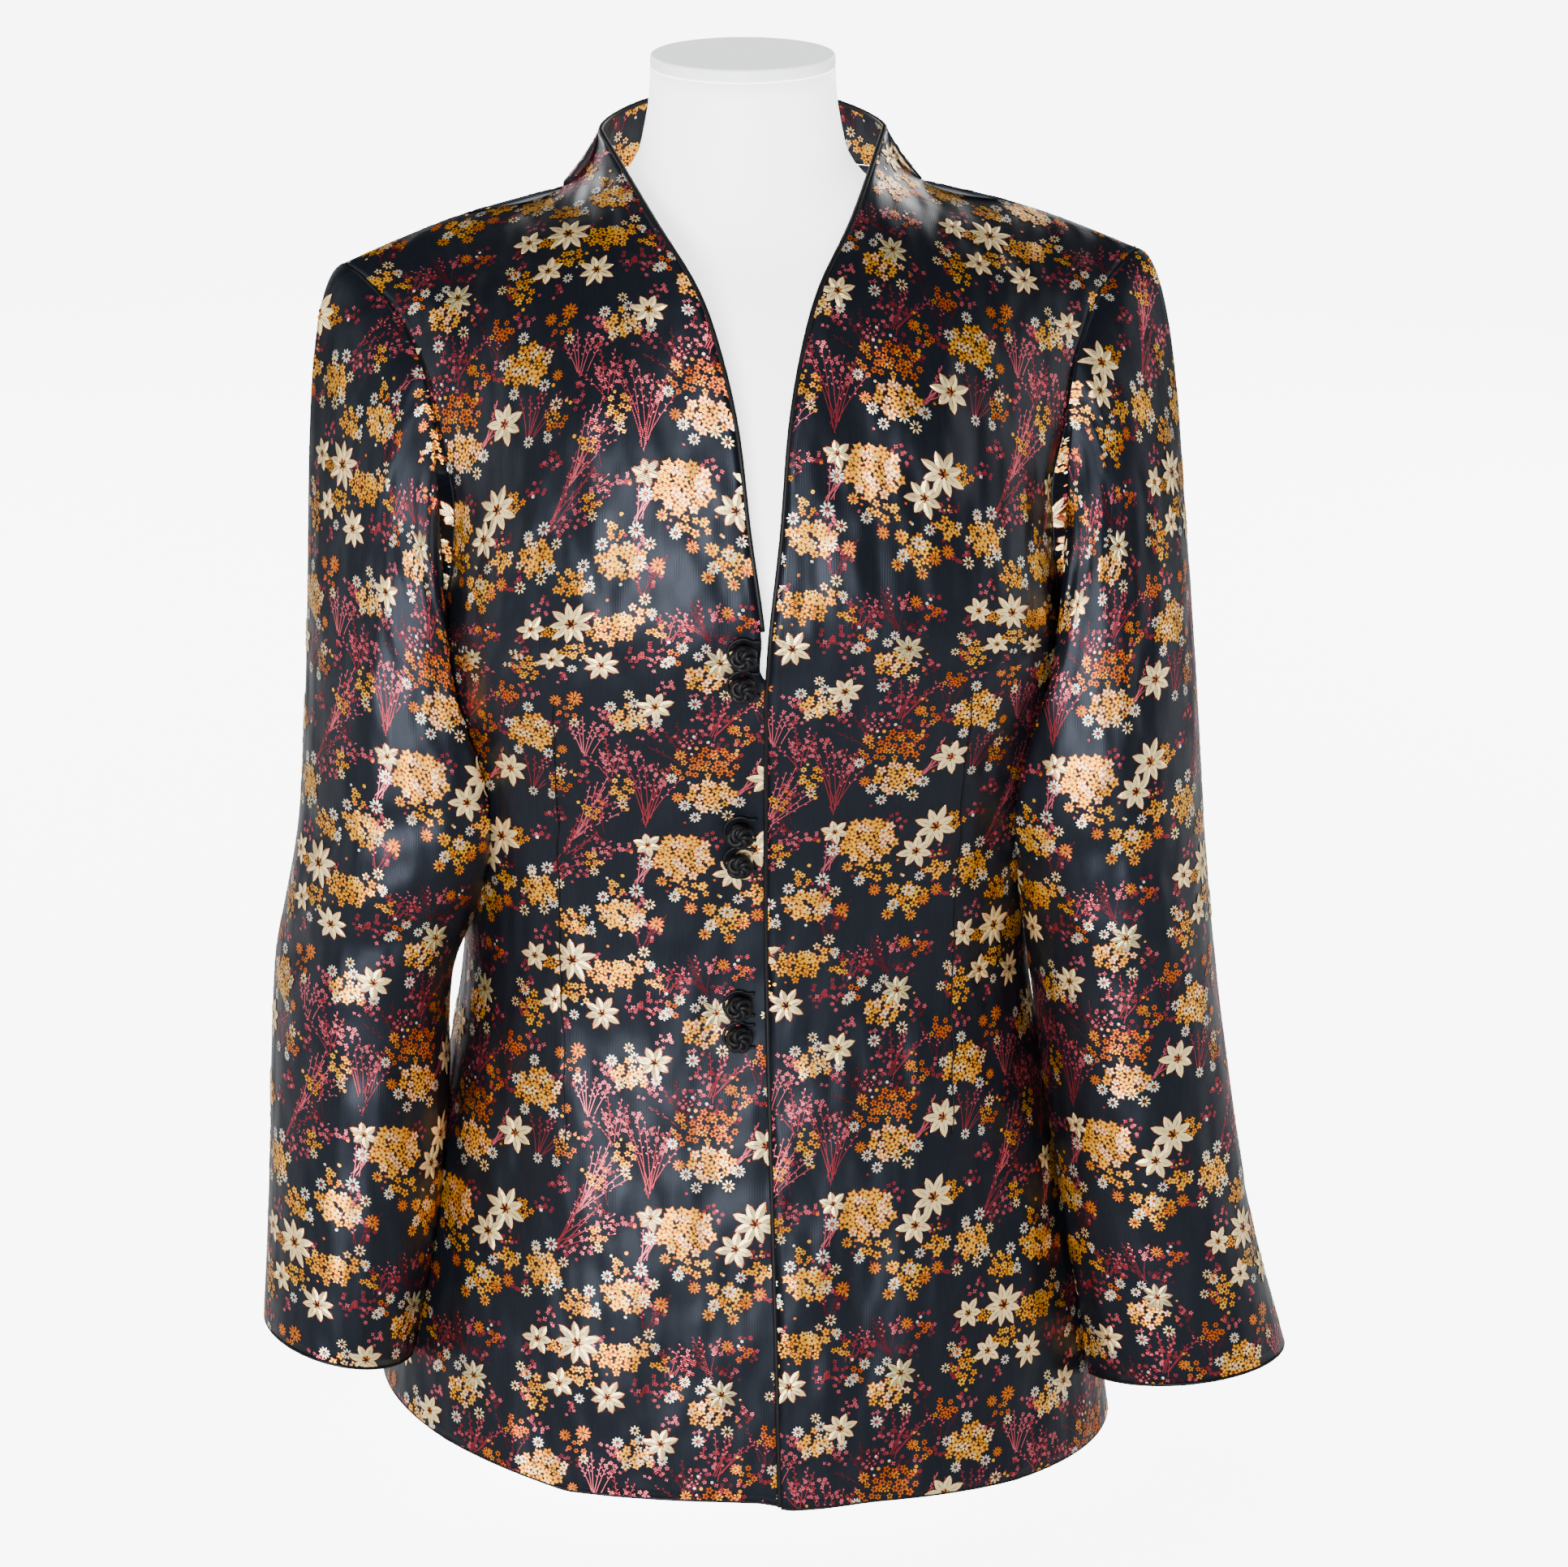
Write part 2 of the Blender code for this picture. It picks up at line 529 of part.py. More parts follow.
def build_buttons(grids):
    """Knot buttons in pairs on the under front, each held by a cord loop from the lapping edge."""
    turns = np.linspace(pi / 3.4, 2 * pi - pi / 3.4, 13)
    loop = [(LOOP_RADIUS * cos(turn), LOOP_RADIUS * sin(turn)) for turn in turns]
    edge = -BUTTON_X - 0.0032
    loop = [(edge, loop[0][1]), *loop, (edge, loop[-1][1])]
    for number, height in enumerate(BUTTON_HEIGHTS, start=1):
        point, normal = on_under_front(grids["right"], BUTTON_X, height)
        bm = bmesh.new()
        bmesh.ops.create_uvsphere(bm, u_segments=16, v_segments=10, radius=BUTTON_RADIUS)
        bmesh.ops.scale(bm, vec=(1, 1, BUTTON_HALF_HEIGHT / BUTTON_RADIUS), verts=bm.verts)
        button = new_object(f"knot_button_{number}", bm, satin)
        button.location = point + normal * (BUTTON_HALF_HEIGHT + 2 * SEAM_GAP)
        button.rotation_euler = Vector(normal).to_track_quat("Z", "Y").to_euler()
        line = []
        for across, up in loop:
            below, outwards = on_under_front(grids["right"], BUTTON_X + across, height + up)
            line.append(below + outwards * (LOOP_CORD_RADIUS + SEAM_GAP))
        tube(f"button_loop_{number}", line, LOOP_CORD_RADIUS, satin, sides=1)


def build_form():
    """The torso with its neck: superelliptic sections from the flat base up, closed at both ends."""
    bm = bmesh.new()
    angles = 2 * pi * np.arange(FORM_AROUND) / FORM_AROUND
    rings = []
    for height in FORM_HEIGHTS:
        half_width, front, back, power = body_section(height, FORM)
        ring = []
        for angle in angles:
            x, y = cos(angle), sin(angle)
            depth = back if y > 0 else front
            ring.append(bm.verts.new((
                half_width * np.sign(x) * abs(x) ** (2 / power),
                depth * np.sign(y) * abs(y) ** (2 / power),
                height,
            )))
        rings.append(ring)
    for low, high in zip(rings, rings[1:]):
        for j in range(FORM_AROUND):
            k = (j + 1) % FORM_AROUND
            bm.faces.new((low[j], low[k], high[k], high[j]))
    bm.faces.new(rings[0][::-1])
    bm.faces.new(rings[-1])
    new_object("form_torso", bm, form_skin)
    bm = bmesh.new()
    bmesh.ops.create_cone(
        bm, cap_ends=True, segments=FORM_AROUND, radius1=NECK_RADIUS, radius2=NECK_RADIUS,
        depth=CAP_THICKNESS,
    )
    cap = new_object("form_neck_cap", bm, cap_skin)
    cap.location.z = NECK_TOP + SEAM_GAP + CAP_THICKNESS / 2


for old in list(bpy.data.objects):
    bpy.data.objects.remove(old, do_unlink=True)
collection = bpy.data.collections.new("tang_jacket_on_dress_form")
bpy.context.scene.collection.children.link(collection)
brocade = finish("woven silk brocade", (0.012, 0.014, 0.020), 0.38, sheen=0.3)
satin = finish("black satin cord", (0.008, 0.008, 0.009), 0.42)
form_skin = finish("white moulded form", (0.85, 0.85, 0.85), 0.55)
cap_skin = finish("pale grey neck cap", (0.78, 0.78, 0.78), 0.5)
sewn = build_cloth()
build_piping(sewn)
build_buttons(sewn)
build_form()
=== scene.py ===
# %% [markdown]
# # A brocade tang jacket on its dress form
#
# A tang jacket is a short Chinese jacket with a stand collar and knotted buttons. This one is cut for
# a woman from a heavy satin brocade: a blue-black satin ground, with lilies, hydrangeas, daisies and
# stems of small blossom woven over it in cream, gold, orange, rose and burgundy. Black satin piping
# edges the neck, the fronts, the hem and the cuffs.
#
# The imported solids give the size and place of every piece. Each cloth solid is replaced here by a
# finer shell on the same form, and the woven flowers are laid on that shell as low relief.

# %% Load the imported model
from collections import namedtuple
from math import acos, asin, atan2, cos, hypot, pi, radians, sin

import bmesh
import bpy
import numpy as np
from mathutils import Matrix, Vector
from mathutils.bvhtree import BVHTree


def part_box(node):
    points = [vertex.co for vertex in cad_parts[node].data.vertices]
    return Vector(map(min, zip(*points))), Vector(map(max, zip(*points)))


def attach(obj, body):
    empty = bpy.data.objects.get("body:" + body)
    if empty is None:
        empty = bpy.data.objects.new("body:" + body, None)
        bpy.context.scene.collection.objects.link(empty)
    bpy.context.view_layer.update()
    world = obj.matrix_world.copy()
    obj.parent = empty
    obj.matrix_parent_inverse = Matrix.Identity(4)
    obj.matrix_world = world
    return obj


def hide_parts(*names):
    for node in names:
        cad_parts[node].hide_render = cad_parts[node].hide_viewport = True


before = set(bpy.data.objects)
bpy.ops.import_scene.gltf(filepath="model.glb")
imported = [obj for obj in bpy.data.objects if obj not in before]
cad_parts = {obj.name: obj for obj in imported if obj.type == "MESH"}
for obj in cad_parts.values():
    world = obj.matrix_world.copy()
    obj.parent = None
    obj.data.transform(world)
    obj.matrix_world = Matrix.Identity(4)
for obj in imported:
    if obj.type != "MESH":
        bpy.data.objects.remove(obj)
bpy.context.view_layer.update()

# %% [markdown]
# ## Sizes
#
# A cloth form is settled by a few sections, as a pattern cutter settles it by a few girths. These are
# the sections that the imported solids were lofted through, in metres: the front faces -Y and the
# wearer's left side is +X. The same numbers here give the same form, only read more finely.

# %% The body's sections
SEAM_GAP = 0.0003  # between two pieces that are sewn together
WALL = 0.0016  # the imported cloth's wall
LAP_LIFT = 0.0024  # how far the lapping front rises over the one beneath it
LAP_UNDER = 0.013  # how far the under front runs on beneath the lapping one
Section = namedtuple("Section", "height half_width front back squareness")
BODY = (
    Section(0.015, 0.1900, 0.124, 0.120, 2.4),  # hem
    Section(0.080, 0.1800, 0.120, 0.117, 2.5),
    Section(0.150, 0.1670, 0.113, 0.108, 2.5),
    Section(0.215, 0.1530, 0.106, 0.098, 2.5),
    Section(0.280, 0.1430, 0.101, 0.089, 2.5),  # waist
    Section(0.335, 0.1440, 0.105, 0.087, 2.6),
    Section(0.390, 0.1500, 0.117, 0.090, 2.8),
    Section(0.448, 0.1570, 0.132, 0.096, 3.0),  # underarm
    Section(0.476, 0.1540, 0.137, 0.099, 3.0),
    Section(0.530, 0.1530, 0.131, 0.104, 2.8),
)
LOWER_HEIGHTS = (
    0.015, 0.05, 0.08, 0.115, 0.15, 0.185, 0.22, 0.25, 0.28, 0.31, 0.34, 0.37, 0.40, 0.425, 0.448)
FOOT_OF_V = 0.476
Cut = namedtuple("Cut", "height edge_x armhole_depth")  # a section that the armhole cuts short
FRONT_CUTS = (
    Cut(0.4565, 0.0015, 0.026),
    Cut(FOOT_OF_V, 0.0025, 0.055),
    Cut(0.5290, 0.0090, 0.064),
)
BACK_CUTS = (Cut(0.4565, 0.0, 0.018), Cut(0.4800, 0.0, 0.039), Cut(0.5300, 0.0, 0.051))

# %% From the bust to the shoulder: each row runs edge, middle, armhole
Row = namedtuple("Row", "edge_x edge_y edge_z mid_x mid_y mid_z arm_x arm_y arm_z")
FRONT_ROWS = (
    Row(0.0140, -0.1200, 0.577, 0.100, -0.102, 0.569, 0.1520, -0.060, 0.560),
    Row(0.0210, -0.1070, 0.610, 0.095, -0.090, 0.602, 0.1590, -0.049, 0.592),
    Row(0.0300, -0.0940, 0.636, 0.090, -0.074, 0.631, 0.1700, -0.030, 0.614),
    Row(0.0480, -0.0680, 0.664, 0.088, -0.046, 0.656, 0.1840, -0.012, 0.627),
)
BACK_ROWS = (
    Row(0.0, 0.104, 0.580, 0.108, 0.088, 0.575, 0.1540, 0.056, 0.570),
    Row(0.0, 0.097, 0.618, 0.100, 0.078, 0.612, 0.1630, 0.045, 0.602),
    Row(0.0, 0.086, 0.645, 0.088, 0.060, 0.641, 0.1770, 0.025, 0.620),
)
# x and z of points on the shoulder seam, then y and z of points at the centre back
COLLAR_TOP_SIDE, COLLAR_SEAM_MIDDLE, COLLAR_FOOT = (0.0705, 0.695), (0.0765, 0.6795), (0.088, 0.669)
SHOULDER_MIDDLE, SHOULDER_POINT = (0.139, 0.6555), (0.1950, 0.633)
COLLAR_TOP_BACK, NECK_BACK = (0.066, 0.703), (0.0695, 0.6645)

# %% The sleeves and the hem
Ring = namedtuple("Ring", "height outer inner half_depth forward tilt")
SLEEVES = {
    "left": (  # the wearer's left arm hangs almost straight
        Ring(0.440, 0.220, 0.128, 0.062, 0.032, 0.50),
        Ring(0.390, 0.224, 0.130, 0.062, 0.038, 0.35),
        Ring(0.340, 0.228, 0.143, 0.060, 0.039, 0.24),
        Ring(0.290, 0.233, 0.153, 0.057, 0.040, 0.18),
        Ring(0.220, 0.242, 0.162, 0.053, 0.042, 0.14),
        Ring(0.140, 0.255, 0.172, 0.049, 0.045, 0.12),
        Ring(0.062, 0.276, 0.184, 0.043, 0.048, 0.08),
    ),
    "right": (  # the wearer's right arm bends at the elbow, which lifts its cuff
        Ring(0.440, 0.218, 0.128, 0.062, 0.022, 0.50),
        Ring(0.390, 0.221, 0.127, 0.062, 0.028, 0.35),
        Ring(0.340, 0.226, 0.142, 0.060, 0.028, 0.24),
        Ring(0.290, 0.236, 0.161, 0.056, 0.026, 0.18),
        Ring(0.220, 0.242, 0.166, 0.053, 0.032, 0.16),
        Ring(0.150, 0.246, 0.173, 0.050, 0.040, 0.20),
        Ring(0.089, 0.250, 0.184, 0.047, 0.045, 0.24),
    ),
}
BODY_CLEARANCE = 0.0030  # between a sleeve and the body beside it
HemPoint = namedtuple("HemPoint", "x rise")
HEM = (
    HemPoint(-0.190, 0.036),  # the wearer's right side seam
    HemPoint(-0.160, 0.026),
    HemPoint(-0.100, 0.010),
    HemPoint(-0.020, 0.0060),
    HemPoint(0.000, 0.0045),
    HemPoint(0.012, 0.0010),
    HemPoint(0.060, 0.0020),
    HemPoint(0.130, 0.0010),
    HemPoint(0.190, 0.0040),  # the wearer's left side seam
)
HEM_RISE_UP_TO = 0.150  # the height at which the hem's rise has died away

# %% [markdown]
# ## Reading a cloth surface from its sections
#
# Each panel is a grid of points: rows run across the cloth and columns run up it. A smooth curve passes
# through the sections, so a fine grid lies on the same surface as the coarse packed one. A surface
# object could be lofted in the editor instead, but a grid of known points also gives each point's place
# on the flat cloth, which the woven pattern needs.

# %% Curves and lengths
MIRROR = (-1, 1, 1)
ROW_STEP = 0.0052  # between rows of the fine grids
FRONT_COLUMNS = 49
BACK_COLUMNS = 44  # on each side of the centre back
COLLAR_COLUMNS, COLLAR_ROWS = 24, 8  # columns on each side of the centre back
SLEEVE_AROUND, CAP_ROWS, TUBE_ROWS = 84, 32, 72
LINE_POINTS = 60  # on a seam or neck line, before it is spaced evenly


def hermite(t, start, end, leaving, arriving):
    """The cubic from start to end that leaves and arrives along the two slopes, read at t from 0 to 1."""
    return (
        (2 * t**3 - 3 * t**2 + 1) * start + (t**3 - 2 * t**2 + t) * leaving
        + (3 * t**2 - 2 * t**3) * end + (t**3 - t**2) * arriving)


def eased(share):
    """A share from 0 to 1 that starts and ends softly."""
    return share * share * (3 - 2 * share)


def smooth(keys, values, at):
    """Reads a smooth curve that passes through values, one row for each rising key, at other keys."""
    keys, values, at = (np.asarray(part, float) for part in (keys, values, at))
    step = np.diff(keys)
    slope = np.diff(values, axis=0) / step.reshape(-1, *[1] * (values.ndim - 1))
    tangent = np.empty_like(values)
    for i in range(1, len(keys) - 1):
        share = step[i - 1] / (step[i - 1] + step[i])
        tangent[i] = slope[i - 1] * (1 - share) + slope[i] * share
    tangent[0] = 1.5 * slope[0] - 0.5 * tangent[1]
    tangent[-1] = 1.5 * slope[-1] - 0.5 * tangent[-2]
    span = np.clip(np.searchsorted(keys, at, "right") - 1, 0, len(keys) - 2)
    shape = (-1, *[1] * (values.ndim - 1))
    t = ((at - keys[span]) / step[span]).reshape(shape)
    width = step[span].reshape(shape)
    return hermite(t, values[span], values[span + 1], width * tangent[span], width * tangent[span + 1])


def lengths_along(points):
    """The distance from the first point to each point, along the line through them."""
    steps = np.linalg.norm(np.diff(points, axis=0), axis=-1)
    return np.concatenate([0 * steps[:1], np.cumsum(steps, axis=0)])


def evenly(points, count):
    """The same line, with count points spaced evenly along it."""
    points = np.asarray(points, float)
    along = lengths_along(points)
    wanted = np.linspace(0, along[-1], count)
    return np.stack([np.interp(wanted, along, points[:, axis]) for axis in range(3)], axis=1)


def unit(vectors):
    """The same directions, each of length 1."""
    return vectors / np.maximum(np.linalg.norm(vectors, axis=-1, keepdims=True), 1e-12)


# %% Sections of the body
def body_section(height, table=BODY):
    columns = [(row.half_width, row.front, row.back, row.squareness) for row in table]
    return smooth([row.height for row in table], columns, [height])[0]


def side_of_body(y, z):
    """The body's half width at depth y and height z, on its outer face."""
    half_width, front, back, power = body_section(z)
    depth = abs(y) / (front if y < 0 else back)
    return half_width * max(0.0, 1 - depth**power) ** (1 / power)


def quarter(height, start_x, front, stop_depth=0.0):
    """One section of the body from x = start_x round to the side seam, or to where its depth falls to
    stop_depth at the armhole, on the front or the back."""
    half_width, depth_front, depth_back, power = body_section(height)
    depth = -depth_front if front else depth_back
    first = np.sign(start_x) * asin(min(1.0, abs(start_x) / half_width) ** (power / 2))
    angles = np.linspace(first, acos((stop_depth / abs(depth)) ** (power / 2)), 90)
    x = half_width * np.sign(angles) * np.abs(np.sin(angles)) ** (2 / power)
    y = depth * np.abs(np.cos(angles)) ** (2 / power) + np.sign(depth) * SEAM_GAP / 2
    return np.stack([x, y, np.full(len(x), height)], axis=1)


def through(points):
    """A smooth line through a few points."""
    along = lengths_along(points)
    return smooth(along, points, np.linspace(0, along[-1], LINE_POINTS))


def row_line(row):
    """A smooth line through a row's edge, middle and armhole points."""
    return through(np.array(row).reshape(3, 3))


def front_edge_x(height, lapping):
    """Where a front ends, below the foot of the V. The lapping edge drifts out a little to the hem."""
    over = 0.0010 + 0.016 * max(0.0, 0.45 - height)
    return over if lapping else -over - LAP_UNDER * min(1.0, (FOOT_OF_V - height) / 0.05)


def shoulder_line(front):
    """The shoulder seam from the collar's foot to the shoulder point, with the collar's own end seam
    before it on the front."""
    y = -SEAM_GAP / 2 if front else SEAM_GAP / 2
    places = [COLLAR_FOOT, SHOULDER_MIDDLE, SHOULDER_POINT]
    if front:
        places = [COLLAR_TOP_SIDE, COLLAR_SEAM_MIDDLE, *places]
    return through(np.array([(x, y, z) for x, z in places]))


def quarter_ring(at_side, at_back, gap):
    """A quarter of an oval from the centre back to the side, which rises or falls on its way."""
    angles = np.linspace(0, pi / 2, LINE_POINTS)
    return np.stack([
        at_side[0] * np.sin(angles), at_back[0] * np.cos(angles) + gap,
        at_back[1] + (at_side[1] - at_back[1]) * np.sin(angles) ** 2], axis=1)


def back_neckline():
    """From the centre back to the collar's foot, on the wearer's left."""
    return quarter_ring(COLLAR_FOOT, NECK_BACK, SEAM_GAP / 2)


print("waist section:", body_section(0.28).round(4))


# %% Grids of the fronts, the back and the collar
def between_rows(rows):
    """Fills in a panel between its rows, and returns it with the number of its underarm row. That row
    is a corner at the side seam, so the outer columns are worked out separately above and below it."""
    keys = np.concatenate([[0], np.cumsum(np.linalg.norm(np.diff(rows, axis=0), axis=2).mean(axis=1))])
    at = [0.0]
    for low, high in zip(keys, keys[1:]):
        count = max(1, round((high - low) / ROW_STEP))
        at += list(low + (high - low) * np.arange(1, count + 1) / count)
    at = np.array(at)
    underarm = len(LOWER_HEIGHTS) - 1
    below, above = at <= keys[underarm] + 1e-9, at > keys[underarm] + 1e-9
    whole = smooth(keys, rows, at)
    apart = np.concatenate([
        smooth(keys[:underarm + 1], rows[:underarm + 1], at[below]),
        smooth(keys[underarm:], rows[underarm:], at[above]),
    ])
    share = eased(np.clip((np.linspace(0, 1, rows.shape[1]) - 0.45) / 0.4, 0, 1)).reshape(1, -1, 1)
    return whole * (1 - share) + apart * share, int(below.sum()) - 1


def raised_hem(grid):
    """The same panel, with its hem raised as the HEM table says."""
    rise = np.interp(grid[:, :, 0], [point.x for point in HEM], [point.rise for point in HEM])
    left_over = (HEM_RISE_UP_TO - grid[:, :, 2]) / (HEM_RISE_UP_TO - LOWER_HEIGHTS[0])
    raised = grid.copy()
    raised[:, :, 2] += rise * np.clip(left_over, 0, 1)
    return raised


def front_grid(lapping):
    """A front on the +X side: rows from hem to shoulder, columns from the closing edge."""
    rows = [quarter(z, front_edge_x(z, lapping), True) for z in LOWER_HEIGHTS]
    rows += [quarter(cut.height, cut.edge_x, True, cut.armhole_depth) for cut in FRONT_CUTS]
    rows += [row_line(row) for row in FRONT_ROWS]
    rows.append(shoulder_line(True))
    grid, underarm = between_rows(np.array([evenly(row, FRONT_COLUMNS) for row in rows]))
    if lapping:
        near = eased(np.clip((0.055 - grid[:, :, 0]) / 0.030, 0, 1))
        low = np.clip((0.530 - grid[:, :, 2]) / 0.054, 0, 1)
        grid[:, :, 1] -= LAP_LIFT * near * low
        return raised_hem(grid), underarm
    return raised_hem(grid * MIRROR) * MIRROR, underarm


def back_grid():
    """The back, from the wearer's left side seam to the right one."""
    rows = [quarter(z, 0.0, False) for z in LOWER_HEIGHTS]
    rows += [quarter(cut.height, cut.edge_x, False, cut.armhole_depth) for cut in BACK_CUTS]
    rows += [row_line(row) for row in BACK_ROWS]
    half = [evenly(row, BACK_COLUMNS + 1) for row in rows]
    middle = BACK_COLUMNS // 2
    neck = evenly(back_neckline(), middle + 1)
    half.append(np.concatenate([neck[:-1], evenly(shoulder_line(False), BACK_COLUMNS + 1 - middle)]))
    grid, underarm = between_rows(np.array(half))
    mirrored = grid[:, :0:-1] * MIRROR
    return raised_hem(np.concatenate([mirrored, grid], axis=1)[:, ::-1]), underarm


def collar_grid():
    """The back collar: rows from the neckline to its top edge, from the wearer's left to right."""
    neck = back_neckline()
    neck[:, 1] += SEAM_GAP / 2
    neck[:, 2] += 3 * SEAM_GAP
    neck = evenly(neck, COLLAR_COLUMNS + 1)
    top = evenly(quarter_ring(COLLAR_TOP_SIDE, COLLAR_TOP_BACK, SEAM_GAP), COLLAR_COLUMNS + 1)
    middle = 0.55 * neck + 0.45 * top
    middle[:, :2] *= 0.985  # the stand is a little hollow between foot and top
    half = smooth([0, 0.45, 1], np.array([neck, middle, top]), np.linspace(0, 1, COLLAR_ROWS + 1))
    mirrored = half[:, :0:-1] * MIRROR
    return np.concatenate([mirrored, half], axis=1)[:, ::-1]


# %% Grids of the sleeves
def armhole(front, front_underarm, back, back_underarm):
    """The closed line of the armhole: shoulder point, down the front, underarm and up the back."""
    count = SLEEVE_AROUND // 2
    front_side = evenly(front[front_underarm:, -1][::-1], count + 1)
    back_side = evenly(back[back_underarm:, 0], count + 1)
    return np.concatenate([front_side[:-1], back_side[:-1]])


def sleeve_grid(rings, hole, hem_rise):
    """A sleeve on the +X side: its cap grows out of the armhole, then its rings run down to the cuff.
    It stays clear of the body beside it, whose side seam the hem raises by hem_rise."""
    angles = 2 * pi * np.arange(SLEEVE_AROUND) / SLEEVE_AROUND
    sections = []
    for ring in rings:
        half_width = (ring.outer - ring.inner) / 1.707
        centre = ring.outer - half_width
        x = centre + half_width * np.cos(angles)
        y = -ring.forward - ring.half_depth * np.sin(angles)
        sections.append(np.stack([x, y, ring.height + ring.tilt * (x - centre)], axis=1))
    sections = np.array(sections)
    keys = [-ring.height for ring in rings]
    coarse = smooth(keys, sections, np.linspace(keys[0], keys[-1], TUBE_ROWS // 6 + 1))
    tube = smooth(keys, sections, np.linspace(keys[0], keys[-1], TUBE_ROWS + 1))
    start = hole + (2 * SEAM_GAP, 0, 0)
    reach = np.linalg.norm(tube[0] - start, axis=1, keepdims=True)
    low = ((1 - np.cos(angles)) / 2).reshape(-1, 1)
    ahead = np.sin(angles).reshape(-1, 1)
    outwards = unit(np.concatenate([0.9 + 0 * low, -0.35 * ahead, -0.25 - 0.35 * low], axis=1))
    down = unit(coarse[1] - coarse[0])
    cap = []
    for t in np.arange(CAP_ROWS) / CAP_ROWS:
        cap.append(hermite(t, start, tube[0], outwards * reach * 0.36, down * reach * 1.1))
    grid = np.concatenate([cap, tube])
    hem_span = HEM_RISE_UP_TO - LOWER_HEIGHTS[0]
    for point in grid[1:].reshape(-1, 3):
        height = min(point[2], LOWER_HEIGHTS[-1])
        if height < HEM_RISE_UP_TO:
            height = HEM_RISE_UP_TO - (HEM_RISE_UP_TO - height) / (1 - hem_rise / hem_span)
        point[0] = max(point[0], side_of_body(point[1], height) + BODY_CLEARANCE)
    return grid


left_grid, left_underarm = front_grid(True)
right_grid, right_underarm = front_grid(False)
back_points, back_underarm = back_grid()
collar_points = collar_grid()
sleeve_points = {
    side: sleeve_grid(SLEEVES[side], armhole(front, underarm, back_points, back_underarm), hem.rise)
    for side, front, underarm, hem in (
        ("left", left_grid, left_underarm, HEM[-1]), ("right", right_grid, right_underarm, HEM[0]))}
print("front grid", left_grid.shape[:2], "back grid", back_points.shape[:2])

# %% [markdown]
# ## Panels with their flat cloth
#
# Brocade is woven flat and cut afterwards, so its flowers keep their size and run on to each cut edge.
# A panel therefore carries, beside each point in space, that point's place on the flat cloth: the
# length along its row and the length along its column. Panels are turned here so that rows run to the
# right and columns run up, as a person facing the outside of the cloth would see them.

# %% Panels
Panel = namedtuple("Panel", "name points across up closed")


def flat_panel(name, points, level_row, zero_column, first_across=None, closed=False):
    """A panel, with its flat cloth measured from level_row up and from zero_column across."""
    along = lengths_along(points.transpose(1, 0, 2)).T
    across = along - along[:, [zero_column]]
    if first_across is not None:
        across = across + first_across[:, None]
    up = lengths_along(points)
    return Panel(name, points, across, up - up[level_row], closed)


def round_sleeve(side):
    """The sleeve's grid opened along its underarm seam, from the cuff up."""
    points = sleeve_points[side]
    order = (np.arange(SLEEVE_AROUND + 1) + SLEEVE_AROUND // 2) % SLEEVE_AROUND
    opened = points[::-1, order]
    return opened[:, ::-1] if side == "left" else opened * MIRROR


right_world = (right_grid * MIRROR)[:, ::-1]
PANELS = {
    "front_left": flat_panel(
        "front_left", left_grid, left_underarm, 0, first_across=left_grid[:, 0, 0]),
    "front_right": flat_panel(
        "front_right", right_world, right_underarm, -1, first_across=right_world[:, -1, 0]),
    "back": flat_panel("back", back_points, back_underarm, BACK_COLUMNS),
    "back_collar": flat_panel("back_collar", collar_points, 0, COLLAR_COLUMNS),
}
for side in SLEEVES:
    PANELS["sleeve_" + side] = flat_panel(
        "sleeve_" + side, round_sleeve(side), 0, SLEEVE_AROUND // 2, closed=True)
for panel in PANELS.values():
    print(panel.name, "flat", round(float(np.ptp(panel.across)), 3), "x", round(float(np.ptp(panel.up)), 3))

# %% [markdown]
# ## Finishes
#
# The ground is a warp-faced satin: its long floats lie side by side, so it is nearly black face on and
# slate grey where it mirrors a light. The flowers are weft floats of dyed rayon, which shine like dull
# metal, so their shaders are mostly metallic.
# Each thread colour is one slot with its own plain colour, and the weave shows as fine ribs in the
# bump. A satin thread is about 0.15 mm wide, which is too fine to show, so the ribs are drawn 0.8 to
# 1 mm apart.

# %% Colours and nodes
def linear(code):
    """An sRGB hex colour as linear red, green, blue and alpha."""
    parts = [int(code[i:i + 2], 16) / 255 for i in (1, 3, 5)]
    return (*[p / 12.92 if p <= 0.04045 else ((p + 0.055) / 1.055) ** 2.4 for p in parts], 1.0)


def new_material(name, inputs):
    """A Principled material, with its plain values set on the shader's own sockets."""
    material = bpy.data.materials.new(name)
    material.use_nodes = True
    shader = material.node_tree.nodes["Principled BSDF"]
    for socket, value in inputs.items():
        shader.inputs[socket].default_value = value
    return material, material.node_tree, shader


def add_node(tree, kind, links=None, inputs=None, **settings):
    """Adds a node, sets its properties and inputs, and links other nodes' outputs into it."""
    node = tree.nodes.new(kind)
    for key, value in settings.items():
        setattr(node, key, value)
    for key, value in (inputs or {}).items():
        node.inputs[key].default_value = value
    for key, output in (links or {}).items():
        tree.links.new(output, node.inputs[key])
    return node


WAVE_TURN = 0.314  # a wave texture's scale for stripes one unit apart
WAVE_DEPTH, FIBRE_SCALE = 0.0085, 1500.0


